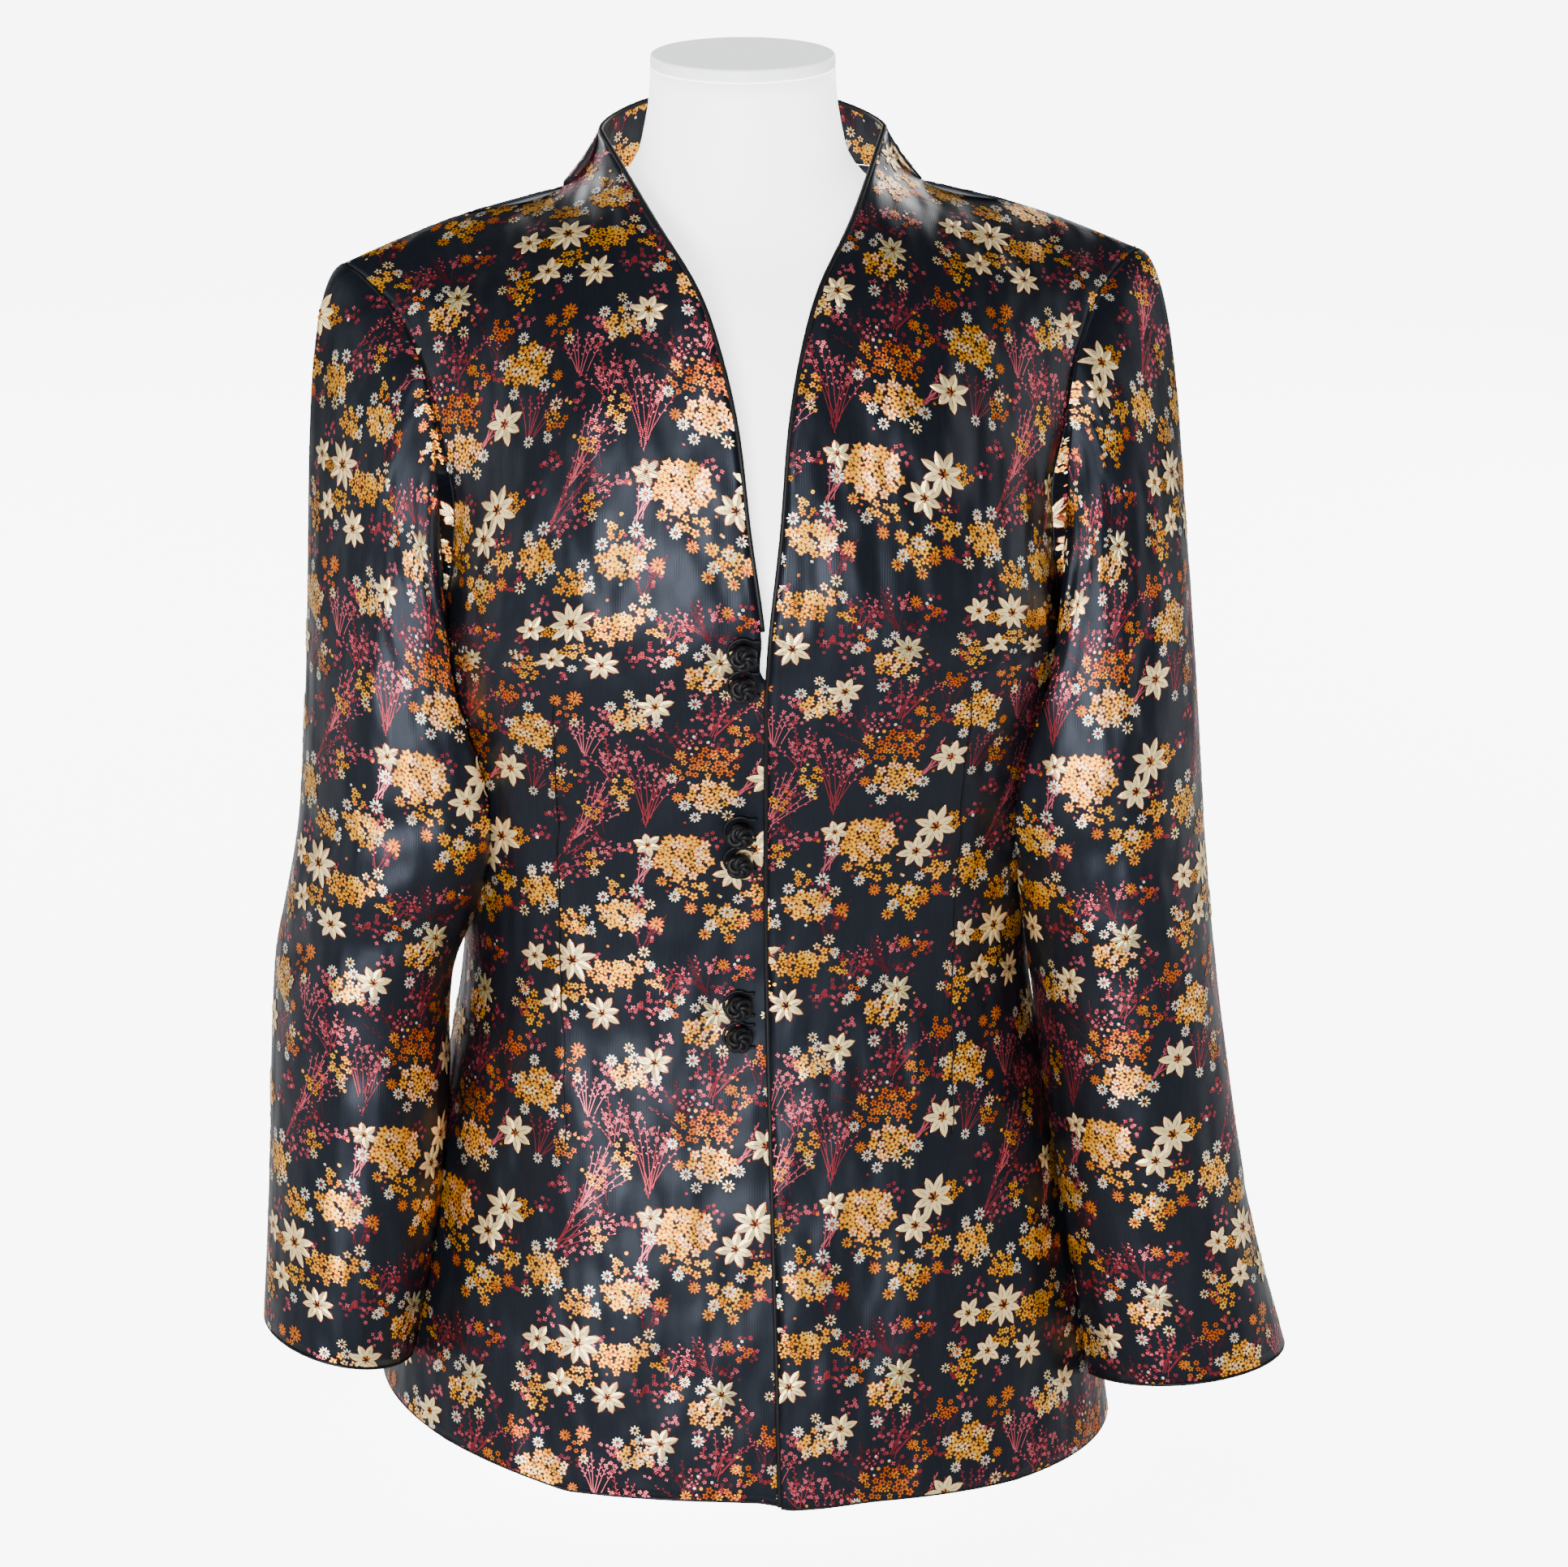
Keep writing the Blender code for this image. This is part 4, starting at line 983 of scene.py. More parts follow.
BLOSSOM_HEADS = (  # x, y, half width, half height, blossoms, thread
    (43, 170, 9, 6, 20, ROSE), (56, 186, 6, 6, 10, ROSE), (27, 133, 6, 6, 12, ROSE),
    (126, 118, 7, 9, 20, DEEPROSE), (118, 108, 7, 6, 13, BURGUNDY), (79, 98, 11, 9, 32, DEEPROSE),
    (59, 61, 9, 11, 32, ROSE), (80, 56, 8, 8, 20, ROSE), (67, 38, 11, 8, 26, ROSE),
    (100, 49, 10, 9, 28, BURGUNDY), (118, 45, 8, 9, 20, BURGUNDY), (16, 110, 4, 8, 9, ROSE),
    (77, 152, 4, 12, 16, ROSE), (12, 90, 4, 7, 8, DEEPROSE), (114, 62, 7, 4, 9, DEEPROSE),
    (48, 30, 5, 9, 12, DEEPROSE), (3, 52, 6, 6, 11, DEEPROSE), (88, 80, 5, 5, 8, ROSE),
    (34, 86, 6, 4, 8, ROSE), (26, 190, 7, 6, 12, DEEPROSE), (104, 74, 5, 4, 7, ROSE),
    (8, 150, 8, 6, 14, DEEPROSE), (54, 122, 8, 5, 9, BURGUNDY), (95, 110, 8, 6, 14, DEEPROSE),
    (36, 56, 7, 6, 14, BURGUNDY), (84, 30, 7, 8, 16, ROSE), (108, 64, 8, 7, 14, DEEPROSE),
    (124, 86, 6, 8, 14, BURGUNDY), (58, 14, 6, 7, 12, DEEPROSE), (66, 184, 7, 7, 14, ROSE),
    (36, 4, 8, 5, 12, DEEPROSE), (112, 120, 7, 5, 10, ROSE), (82, 140, 6, 6, 10, DEEPROSE),
    (20, 76, 7, 5, 10, ROSE), (6, 168, 6, 6, 10, BURGUNDY), (110, 190, 6, 6, 10, DEEPROSE),
)
STEMS = (  # x, y at the foot, direction and spread in degrees, length, stems, thread
    (30, 168, 46, 30, 38, 8, DEEPROSE), (74, 166, 66, 34, 28, 6, ROSE),
    (108, 106, 118, 50, 26, 8, BURGUNDY), (79, 2, 84, 36, 42, 9, DEEPROSE),
    (44, -8, 58, 28, 40, 8, ROSE), (62, 28, 100, 44, 24, 6, DEEPROSE),
    (76, 130, 82, 50, 22, 6, BURGUNDY), (112, 52, 62, 40, 26, 7, DEEPROSE),
    (96, 38, 104, 46, 22, 6, BURGUNDY), (22, 18, 66, 40, 28, 6, DEEPROSE),
    (50, 42, 86, 34, 24, 6, ROSE), (6, 58, 92, 50, 22, 5, BURGUNDY),
    (88, 104, 76, 42, 20, 5, DEEPROSE), (124, 18, 50, 36, 26, 6, ROSE),
    (58, 190, 130, 50, 22, 5, BURGUNDY),
)
BERRIES_PER_REPEAT = 110
BUDS_PER_STEM = 6
GOLDEN_ANGLE = 2.39996  # the turn between a sunflower's seeds
CROWDING = 0.80  # how much of a cluster's oval its florets' middles fill
DRAWN_IN = 0.67  # how far a lone flower is moved towards the nearest cluster


# %% Filling the tile
def put(tile, sprig, x, y, size, turn, lift=0.0):
    """Adds one flower to the tile, in millimetres."""
    spin = np.array([[cos(turn), sin(turn)], [-sin(turn), cos(turn)]])
    points = sprig.points.copy()
    points[:, :2] = points[:, :2] @ spin * size + (x, y)
    points[:, 2] += lift
    tile.append(sprig._replace(points=points))


def drawn_in(x, y):
    """A lone flower's spot, moved most of the way to the rim of the nearest cluster: the woven flowers
    gather in masses, with bare ground between them."""
    nearest = min(CLUSTERS, key=lambda oval: hypot(x - oval[0], y - oval[1]) - oval[2])
    away = hypot(x - nearest[0], y - nearest[1])
    rim = min(away, 0.9 * nearest[2])
    share = 1 - DRAWN_IN * (1 - rim / max(away, 0.1))
    return nearest[0] + (x - nearest[0]) * share, nearest[1] + (y - nearest[1]) * share


def charted_tile():
    """Every flower of one repeat, from the lowest layer to the highest."""
    draw = np.random.default_rng(1911)
    tile = []
    for x, y, direction, spread, length, count, thread in STEMS:
        for k in range(count):
            lean = (k / max(1, count - 1) - 0.5) * radians(spread) + draw.normal(0, 0.05)
            reach = length * draw.uniform(0.62, 1.0)
            bud = ROSE if draw.random() < 0.5 else thread
            piece = stem(reach, -lean * reach * 0.35, thread, bud, BUDS_PER_STEM)
            foot = (x + draw.normal(0, 1.6), y + draw.normal(0, 1.6))
            put(tile, piece, *foot, 1.0, radians(direction - 90) + lean)
    heads = {thread: [blossom(4, thread), blossom(5, thread)] for thread in (ROSE, DEEPROSE, BURGUNDY)}
    for x, y, half_width, half_height, count, thread in BLOSSOM_HEADS:
        for k in range(count):
            away, bearing = draw.random() ** 0.55, draw.uniform(0, 2 * pi)
            spot = (x + half_width * away * cos(bearing), y + half_height * away * sin(bearing))
            shade = draw.choice((thread, thread, ROSE, DEEPROSE))
            put(tile, heads[int(shade)][k % 2], *spot, draw.uniform(0.95, 1.45), draw.uniform(0, 6.3), 0.02)
    berries = [berry(thread) for thread in (GOLD, ORANGE, LIGHTGOLD, DEEPROSE, WHITE)]
    for k in range(BERRIES_PER_REPEAT):
        near = CLUSTERS[int(draw.integers(len(CLUSTERS)))]
        bearing, away = draw.uniform(0, 2 * pi), draw.uniform(0.9, 1.55)
        spot = (near[0] + near[2] * away * cos(bearing), near[1] + near[3] * away * sin(bearing))
        put(tile, berries[int(draw.integers(5))], *spot, draw.uniform(0.55, 1.05), 0.0, 0.03)
    made = {}
    for x, y, half_width, half_height, count, radius, palette in CLUSTERS:
        for k in range(count):  # a sunflower spiral fills the oval evenly
            away, bearing = CROWDING * ((k + 0.5) / count) ** 0.5, GOLDEN_ANGLE * k + x
            spot = (
                x + half_width * away * cos(bearing) + draw.normal(0, 0.5),
                y + half_height * away * sin(bearing) + draw.normal(0, 0.5))
            kind = palette[int(draw.choice((0, 0, 1, 2)))]  # half of them are of the first kind
            sides = 4 if radius < 2.8 else 5  # the small ones need fewer
            if (kind, sides) not in made:
                made[kind, sides] = floret(*kind, sides)
            put(tile, made[kind, sides], *spot, radius * draw.uniform(0.72, 0.98), draw.uniform(0, 6.3),
                0.06 + 0.006 * (k % 9))
    aster, dark_aster = daisy(10, ORANGE, RUST, GOLD), daisy(9, GOLD, BURGUNDY, ORANGE)
    for k, (x, y, radius) in enumerate(ASTERS):
        put(tile, (aster, dark_aster)[k % 3 == 2], *drawn_in(x, y), radius * 0.88, 0.7 * k, 0.10)
    daisies = [daisy(10, WHITE, ORANGE), daisy(9, WHITE, DEEPROSE), daisy(8, CREAM, RUST)]
    for k, (x, y, radius) in enumerate(DAISIES):
        put(tile, daisies[k % 3], *drawn_in(x, y), radius * 0.82, 1.1 * k, 0.12)
    for x, y, radius, petals, turn, petal, rib in LILIES:
        put(tile, lily(radius, petals, petal, rib, RUST if petal == CREAM else BURGUNDY), x, y, 1.0,
            radians(turn), 0.10)
    return tile


def joined(sprigs):
    """Several sprigs as one."""
    starts = np.cumsum([0] + [len(sprig.points) for sprig in sprigs[:-1]])
    return Sprig(
        np.concatenate([sprig.points for sprig in sprigs]),
        np.concatenate([sprig.corners + start for sprig, start in zip(sprigs, starts)]),
        np.concatenate([sprig.sizes for sprig in sprigs]),
        np.concatenate([sprig.threads for sprig in sprigs]))


repeat = joined(charted_tile())
repeat.points[:] *= MM
repeat_width, repeat_height = (side * MM for side in REPEAT)
print("one repeat:", len(repeat.sizes), "faces,", int((repeat.sizes - 2).sum()), "triangles")

# %% [markdown]
# ## Laying the figure on the cloth
#
# The tile is repeated over each panel's flat cloth, and every point is carried from the flat to its
# place in space: the flat panel's triangle that holds it tells which triangle of the shell it lies on.
# A point beyond a cut edge is brought back to the edge, and a petal that lies wholly beyond it is left
# out, so flowers are cut at the seams as they are in the real garment.

# %% From flat cloth to shell
EDGE_MARGIN = 0.0004  # how near a cut edge a flower may come
FIGURE_PLACES = {  # where the main lily of a repeat lies on each panel's flat cloth
    "front_left": (0.127, 0.052),
    "front_right": (-0.094, 0.045),
    "back": (0.020, 0.040),
    "back_collar": (0.030, 0.012),
    "sleeve_left": (-0.028, 0.075),
    "sleeve_right": (0.040, 0.055),
}
MAIN_LILY = (42 * MM, 121 * MM)
REACH = 0.0020  # how far off the flat cloth a face is looked for
LEAST_STRETCH, MOST_STRETCH = 0.72, 1.5  # a petal beyond these would bridge a deep fold


def lay_figure(panel, inside=False):
    """The woven figure over one panel, on its face or, for a facing, on its inner side."""
    tall, wide = panel.across.shape
    flat = np.stack([panel.across.ravel(), panel.up.ravel(), np.zeros(tall * wide)], axis=1)
    corner = (np.arange(tall - 1)[:, None] * wide + np.arange(wide - 1)).ravel()
    triangles = np.concatenate([
        np.stack([corner, corner + 1, corner + wide + 1], axis=1),
        np.stack([corner, corner + wide + 1, corner + wide], axis=1)])
    cloth_map = BVHTree.FromPolygons([Vector(p) for p in flat], triangles.tolist())
    first = np.array(FIGURE_PLACES[panel.name]) - MAIN_LILY
    low, high = flat[:, :2].min(axis=0), flat[:, :2].max(axis=0)
    size = np.array([repeat_width, repeat_height])
    from_tile = np.floor((low - first) / size).astype(int) - 1
    to_tile = np.ceil((high - first) / size).astype(int) + 1
    starts = np.concatenate([[0], np.cumsum(repeat.sizes)])
    face_of_corner = np.repeat(np.arange(len(repeat.sizes)), repeat.sizes)
    middles = np.add.reduceat(repeat.points[repeat.corners, :2], starts[:-1]) / repeat.sizes[:, None]
    laid = []
    for column in range(from_tile[0], to_tile[0]):
        for row in range(from_tile[1], to_tile[1]):
            offset = first + size * (column, row)
            at = middles + offset
            near = np.all((at > low - REACH) & (at < high + REACH), axis=1)
            for face in np.flatnonzero(near):
                found = cloth_map.find_nearest((*at[face], 0.0), REACH)
                near[face] = found[0] is not None and found[3] < EDGE_MARGIN
            if not near.any():
                continue
            corners = repeat.corners[near[face_of_corner]]
            used, corners = np.unique(corners, return_inverse=True)
            points = repeat.points[used].copy()
            points[:, :2] += offset
            laid.append(Sprig(points, corners.ravel(), repeat.sizes[near], repeat.threads[near]))
    figure = joined(laid)
    found = [cloth_map.find_nearest((x, y, 0.0)) for x, y, _ in figure.points]
    spots = np.array([spot[0] for spot in found])[:, :2]
    a, b, c = (triangles[[spot[2] for spot in found]][:, k] for k in range(3))
    ab, ac, ap = flat[b, :2] - flat[a, :2], flat[c, :2] - flat[a, :2], spots - flat[a, :2]
    whole = ab[:, 0] * ac[:, 1] - ab[:, 1] * ac[:, 0]
    to_b = (ap[:, 0] * ac[:, 1] - ap[:, 1] * ac[:, 0]) / whole
    to_c = (ab[:, 0] * ap[:, 1] - ab[:, 1] * ap[:, 0]) / whole
    shares = np.stack([1 - to_b - to_c, to_b, to_c], axis=1)[:, :, None]
    normals = panel_normals(panel).reshape(-1, 3)
    points = panel.points.reshape(-1, 3)
    place = (np.stack([points[a], points[b], points[c]], axis=1) * shares).sum(axis=1)
    normal = unit((np.stack([normals[a], normals[b], normals[c]], axis=1) * shares).sum(axis=1))
    lift = figure.points[:, 2:] if not inside else -SHELL_WALL - figure.points[:, 2:]
    place += normal * lift
    return figure, place, spots


def kept_faces(figure, keep):
    """The sprig with only the faces marked in keep, and the points that they use."""
    corners = figure.corners[np.repeat(keep, figure.sizes)]
    used, corners = np.unique(corners, return_inverse=True)
    return Sprig(figure.points[used], corners.ravel(), figure.sizes[keep], figure.threads[keep]), used


def figure_piece(panel, inside=False, half=0):
    """One mesh of figure. A half of -1 or 1 takes only the faces left or right of the middle."""
    figure, place, spots = lay_figure(panel, inside)
    starts = np.concatenate([[0], np.cumsum(figure.sizes)])[:-1]
    following = np.arange(len(figure.corners)) + 1
    following[starts + figure.sizes - 1] = starts
    sides = figure.corners, figure.corners[following]
    on_cloth = np.linalg.norm(spots[sides[0]] - spots[sides[1]], axis=1)
    in_space = np.linalg.norm(place[sides[0]] - place[sides[1]], axis=1)
    ratio = np.add.reduceat(in_space, starts) / np.maximum(np.add.reduceat(on_cloth, starts), 1e-9)
    keep = (ratio > LEAST_STRETCH) & (ratio < MOST_STRETCH)
    if half:
        middle = np.add.reduceat(spots[figure.corners, 0], starts) / figure.sizes
        keep &= middle * half >= 0
    figure, used = kept_faces(figure, keep)
    place, spots = place[used], spots[used]
    starts = np.concatenate([[0], np.cumsum(figure.sizes)])
    corners = figure.corners
    if inside:  # turned over, so that the petals face inwards
        corners = np.concatenate([corners[s:e][::-1] for s, e in zip(starts, starts[1:])])
    name = panel.name + ("_facing" if inside else "") + "_figure" + ("_right", "", "_left")[half + 1]
    mesh = bpy.data.meshes.new(name)
    mesh.from_pydata(place.tolist(), [], [corners[s:e].tolist() for s, e in zip(starts, starts[1:])])
    mesh.polygons.foreach_set("material_index", figure.threads.astype(np.int32))
    uv = mesh.uv_layers.new(name="flat cloth in metres")
    order = np.empty(len(mesh.loops), np.int32)
    mesh.loops.foreach_get("vertex_index", order)
    uv.data.foreach_set("uv", spots[order].astype(np.float32).ravel())
    mesh.update()
    print(name, int((figure.sizes - 2).sum()), "triangles")
    return finished(name, mesh, threads)


figures = {name: [figure_piece(panel)] for name, panel in PANELS.items() if name != "back"}
figures["back"] = [figure_piece(PANELS["back"], half=half) for half in (-1, 1)]
figures["back_collar"].append(figure_piece(PANELS["back_collar"], inside=True))

# %% [markdown]
# ## Waist darts
#
# Each dart shows as the thin raised line of its seam, so it is a fine black cord laid down the cloth at
# the waist, over the flowers. Its black is partly painted shade: it stands for the seam itself and for
# the shade that falls in the seam's narrow trough.

# %% Sewn waist darts
# the dart cords are black satin over the flowers: partly the raised seam, partly painted shade of its trough
DART_RADIUS, DART_LIFT, DART_RINGS = 0.00042, 0.00035, 90


def on_panel(panel, line):
    """A line on the flat cloth, carried to the panel's face: each point is the mean of the six grid
    points that are nearest to it on the flat, by how near they are."""
    flat = np.stack([panel.across.ravel(), panel.up.ravel()], axis=1)
    points, normals = panel.points.reshape(-1, 3), panel_normals(panel).reshape(-1, 3)
    placed = []
    for spot in line:
        away = np.linalg.norm(flat - spot, axis=1)
        near = np.argsort(away)[:6]
        share = 1 / (away[near] + 1e-4) ** 2
        share = (share / share.sum())[:, None]
        placed.append(((points[near] + normals[near] * DART_LIFT) * share).sum(axis=0))
    return smooth(np.arange(len(placed)), np.array(placed), np.linspace(0, len(placed) - 1, DART_RINGS))


DARTS = {  # top and bottom of each dart on the flat cloth: x, y, x, y
    "front_left": ((0.103, -0.005, 0.099, -0.250),),
    "front_right": ((-0.103, -0.005, -0.099, -0.250),),
    "back": ((-0.088, -0.030, -0.084, -0.260), (0.088, -0.030, 0.084, -0.260)),
}

# %% [markdown]
# ## Piping
#
# Piping is a cord in a strip of black satin cut on the bias, sewn into the seam so that half of it
# stands out. One run goes up the left front, round the collar's top and down the right front to the
# foot of the V, where the left front covers the rest. A Bezier curve with a round bevel could draw it,
# but a swept ring in bmesh keeps its ends closed and can be a little uneven, as sewing leaves it.

# %% Sweeping a cord
PIPING_RADIUS, EDGE_PIPING_RADIUS = 0.0013, 0.0009
FRONT_PIPING_RINGS, HEM_PIPING_RINGS = 460, 330
SEWN_IN = 0.7  # how far out of the cut edge a cord's middle lies, in radii: the rest is in the seam


def beside(grid, edge, radius, away):
    """The line of a cord that lies along one edge of a grid, its middle in the cloth's wall."""
    line, normals = grid[edge], normals_of(grid)
    along = unit(np.gradient(line, axis=0))
    across = unit(away - along * (away * along).sum(axis=1, keepdims=True))
    return line + across * radius * SEWN_IN - normals[edge] * WALL / 2


def sweep(bm, line, radius, closed=False, sides=10, pull=0.0):
    """A cord along a line. Its ring is carried along without twist, and two slow waves make it uneven
    by the share that pull gives, as hand sewing does."""
    line = [Vector(point) for point in line]
    count = len(line)
    normal, rings = None, []
    for k, point in enumerate(line):
        before = line[k - 1] if (k or closed) else point
        after = line[(k + 1) % count] if (k + 1 < count or closed) else point
        along = (after - before).normalized()
        if normal is None:
            normal = along.orthogonal().normalized()
        normal = (normal - along * normal.dot(along)).normalized()
        other = along.cross(normal)
        size = radius * (1 + pull * sin(k * 2.1) * sin(k * 0.37))
        rings.append([
            bm.verts.new(point + (normal * cos(turn) + other * sin(turn)) * size)
            for turn in (2 * pi * j / sides for j in range(sides))])
    if closed:
        rings.append(rings[0])
    for low, high in zip(rings, rings[1:]):
        shift = 0
        if closed and high is rings[0]:  # the last ring meets the first at its nearest turn
            shift = min(range(sides), key=lambda s: (low[0].co - high[s].co).length)
        for j in range(sides):
            bm.faces.new((
                low[j], low[(j + 1) % sides], high[(j + 1 + shift) % sides], high[(j + shift) % sides]))
    if not closed:
        bm.faces.new(rings[0][::-1])
        bm.faces.new(rings[-1])


def cord_piece(name, lines, radius, nodes=(), closed=False, sides=10, pull=0.04):
    """One object of black satin cord along one or more lines."""
    bm = bmesh.new()
    for line in lines:
        sweep(bm, line, radius, closed, sides, pull)
    bmesh.ops.recalc_face_normals(bm, faces=bm.faces)
    return finished(name, mesh_of(bm, name), [satin], nodes)


# %% Piping along the edges
up_left = beside(left_grid, np.s_[:, 0], PIPING_RADIUS, left_grid[:, 0] - left_grid[:, 1])
right_line = beside(right_grid, np.s_[:, 0], PIPING_RADIUS, right_grid[:, 0] - right_grid[:, 1])
down_right = (right_line * MIRROR)[right_grid[:, 0, 2] > FOOT_OF_V + 0.004][::-1]
over_collar = beside(
    collar_points, np.s_[-1, :], PIPING_RADIUS, collar_points[-1] - collar_points[-2])[1:-1]
if over_collar[0, 0] < over_collar[-1, 0]:
    over_collar = over_collar[::-1]
front_line = evenly(np.concatenate([up_left, over_collar, down_right]), FRONT_PIPING_RINGS)
cord_piece("neck_and_front_piping", [front_line], PIPING_RADIUS, ["front_piping"])

left_hem, back_hem, right_hem = (
    beside(grid, np.s_[0, :], EDGE_PIPING_RADIUS, grid[0] - grid[1])
    for grid in (left_grid, back_points, right_grid))
hem_line = np.concatenate([left_hem, back_hem[1:-1], (right_hem * MIRROR)[::-1]])
cord_piece("hem_edge_piping", [evenly(hem_line, HEM_PIPING_RINGS)], EDGE_PIPING_RADIUS, ["hem_piping"])

for side in ("left", "right"):
    grid = sleeve_points[side]
    outwards = unit(np.cross(
        np.roll(grid[-1], -1, axis=0) - np.roll(grid[-1], 1, axis=0), grid[-1] - grid[-2]))
    middle = grid[-1].mean(axis=0)
    outwards *= np.sign(((grid[-1] - middle) * outwards).sum(axis=1, keepdims=True))
    ring = grid[-1] + unit(grid[-1] - grid[-2]) * (EDGE_PIPING_RADIUS + SEAM_GAP) - outwards * WALL / 2
    ring = ring * MIRROR if side == "right" else ring
    cord_piece("cuff_edge_piping_" + side, [ring], EDGE_PIPING_RADIUS, ["cuff_piping_" + side], closed=True)
# dart cords: black satin laid over the flowers, partly painted shade of each seam's trough
for name, lines in DARTS.items():
    for number, (x0, y0, x1, y1) in enumerate(lines, start=1):
        flat_line = np.linspace((x0, y0), (x1, y1), 24)
        cord_piece(f"{name}_dart_{number}", [on_panel(PANELS[name], flat_line)], DART_RADIUS, sides=6)
print("piping of", len(front_line), "+", len(hem_line), "rings")

# %% [markdown]
# ## Seam allowances
#
# Sewn pieces stand 0.3 mm apart here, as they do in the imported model, and the white form would shine
# through. A thin black cord sunk under each shoulder, side and armhole seam closes it, as the turned-in
# cloth does.

# %% Seam allowances
SEAM_CORD_RADIUS, SEAM_DEPTH = 0.0005, 0.0006


def under_seam(grid, edge, shift):
    """A line just under the cloth's face along one edge of a grid, where its turned-in allowance shows."""
    return grid[edge] + shift - normals_of(grid)[edge] * SEAM_DEPTH


for side, front, underarm, back_edge, sign in (
        ("left", left_grid, left_underarm, 0, 1), ("right", right_grid, right_underarm, -1, -1)):
    to_back, to_sleeve, mirror = (0, SEAM_GAP / 2, 0), (SEAM_GAP, 0, 0), (sign, 1, 1)
    lines = [
        under_seam(front, np.s_[-1, :], to_back) * mirror,
        under_seam(front, np.s_[:underarm + 1, -1], to_back) * mirror,
        under_seam(front, np.s_[underarm:, -1], to_sleeve) * mirror,
        under_seam(back_points, np.s_[back_underarm:, back_edge], np.multiply(to_sleeve, mirror)),
    ]
    cord_piece("seam_allowance_" + side, lines, SEAM_CORD_RADIUS, sides=6, pull=0.0)
print("seam allowances on both sides")

# %% [markdown]
# ## Knots and loops
#
# A pankou is a length of satin cord knotted into a ball, with a loop of the same cord to catch it. The
# knot shows five rounded lobes that cross over one another. That is a torus knot drawn over a dome: it
# winds three times round while it swings five times in and out. A ball of cord fills its middle.

# %% Knotted buttons
BUTTON_RADIUS, BUTTON_HALF_HEIGHT, BUTTON_X = 0.0068, 0.0052, -0.0115
BUTTON_HEIGHTS = (0.4705, 0.4540, 0.3740, 0.3575, 0.2790, 0.2625)
KNOT_CORD_RADIUS, LOOP_RADIUS, LOOP_CORD_RADIUS = 0.0014, 0.0072, 0.0008
LOOP_OPENING = pi / 3.4  # from the way to the lapping edge to each end of the loop
LOOP_END = 0.0083  # how far the loop's ends lie from the button's middle


def on_under_front(x, height):
    """The point of the right front at this place, and the cloth's normal there."""
    columns = np.concatenate([right_grid, normals_of(right_grid)], axis=2).transpose(1, 0, 2)
    crossed = np.array([
        [np.interp(height, column[:, 2], column[:, axis]) for axis in (0, 1, 3, 4, 5)] for column in columns])
    y, *normal = (np.interp(-x, crossed[:, 0], crossed[:, k]) for k in range(1, 5))
    return np.array([x, y, height]), unit(np.array([-normal[0], normal[1], normal[2]])[None])[0]


def knot_line(turns=3, lobes=5, steps=170):
    """The closed line of the knot's cord, over a dome."""
    line = []
    for t in np.linspace(0, 2 * pi, steps, endpoint=False):
        out = 0.50 + 0.33 * cos(lobes * t)
        dome = 0.62 * (1 - out**2) ** 0.5
        line.append((
            out * cos(turns * t) * BUTTON_RADIUS, out * sin(turns * t) * BUTTON_RADIUS,
            dome * BUTTON_HALF_HEIGHT + 0.0011 * sin(lobes * t)))
    return line


def knot_piece(number, height):
    """A knot over its ball and its short neck, turned to the cloth's normal."""
    point, normal = on_under_front(BUTTON_X, height)
    bm = bmesh.new()
    sweep(bm, knot_line(), KNOT_CORD_RADIUS, closed=True, sides=9, pull=0.05)
    bmesh.ops.recalc_face_normals(bm, faces=bm.faces)
    core = bmesh.ops.create_uvsphere(bm, u_segments=28, v_segments=14, radius=1.0)["verts"]
    bmesh.ops.scale(
        bm, vec=(BUTTON_RADIUS * 0.90, BUTTON_RADIUS * 0.90, BUTTON_HALF_HEIGHT * 0.80), verts=core)
    neck = bmesh.ops.create_cone(
        bm, segments=24, radius1=0.0030, radius2=0.0036, depth=0.0024, cap_ends=True)["verts"]
    bmesh.ops.translate(bm, vec=(0, 0, -BUTTON_HALF_HEIGHT + 0.0009), verts=neck)
    facing = Vector(normal).to_track_quat("Z", "Y").to_matrix() @ Matrix.Rotation(number * 1.9, 3, "Z")
    centre = Vector(point + normal * (BUTTON_HALF_HEIGHT + 2 * SEAM_GAP))
    bmesh.ops.transform(bm, matrix=Matrix.Translation(centre) @ facing.to_4x4(), verts=bm.verts)
    return finished(f"knot_{number}", mesh_of(bm, "knot"), [satin], [f"knot_button_{number}"])


def loop_piece(number, height):
    """The thin cord that comes from under the lapping edge and goes round one knot."""
    turns = np.linspace(LOOP_OPENING, 2 * pi - LOOP_OPENING, 40)
    flat = [(LOOP_RADIUS * cos(t), LOOP_RADIUS * sin(t)) for t in turns]
    flat = [(LOOP_END, flat[0][1]), *flat, (LOOP_END, flat[-1][1])]
    line = []
    for across, up in flat:
        point, normal = on_under_front(BUTTON_X + across, height + up)
        line.append(point + normal * (LOOP_CORD_RADIUS + SEAM_GAP))
    line = evenly(np.array(line), 48)
    return cord_piece(f"loop_{number}", [line], LOOP_CORD_RADIUS, [f"button_loop_{number}"], pull=0.08)


for number, height in enumerate(BUTTON_HEIGHTS, start=1):
    knot_piece(number, height)
    loop_piece(number, height)
print(len(BUTTON_HEIGHTS), "knots in their loops")

# %% [markdown]
# ## Dress form
#
# The form is a moulded torso without limbs, and it shows at the neck. Its surface is one circle drawn up
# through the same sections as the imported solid, in finer steps. The cap that closes the neck is a
# turned disc with a rounded rim.

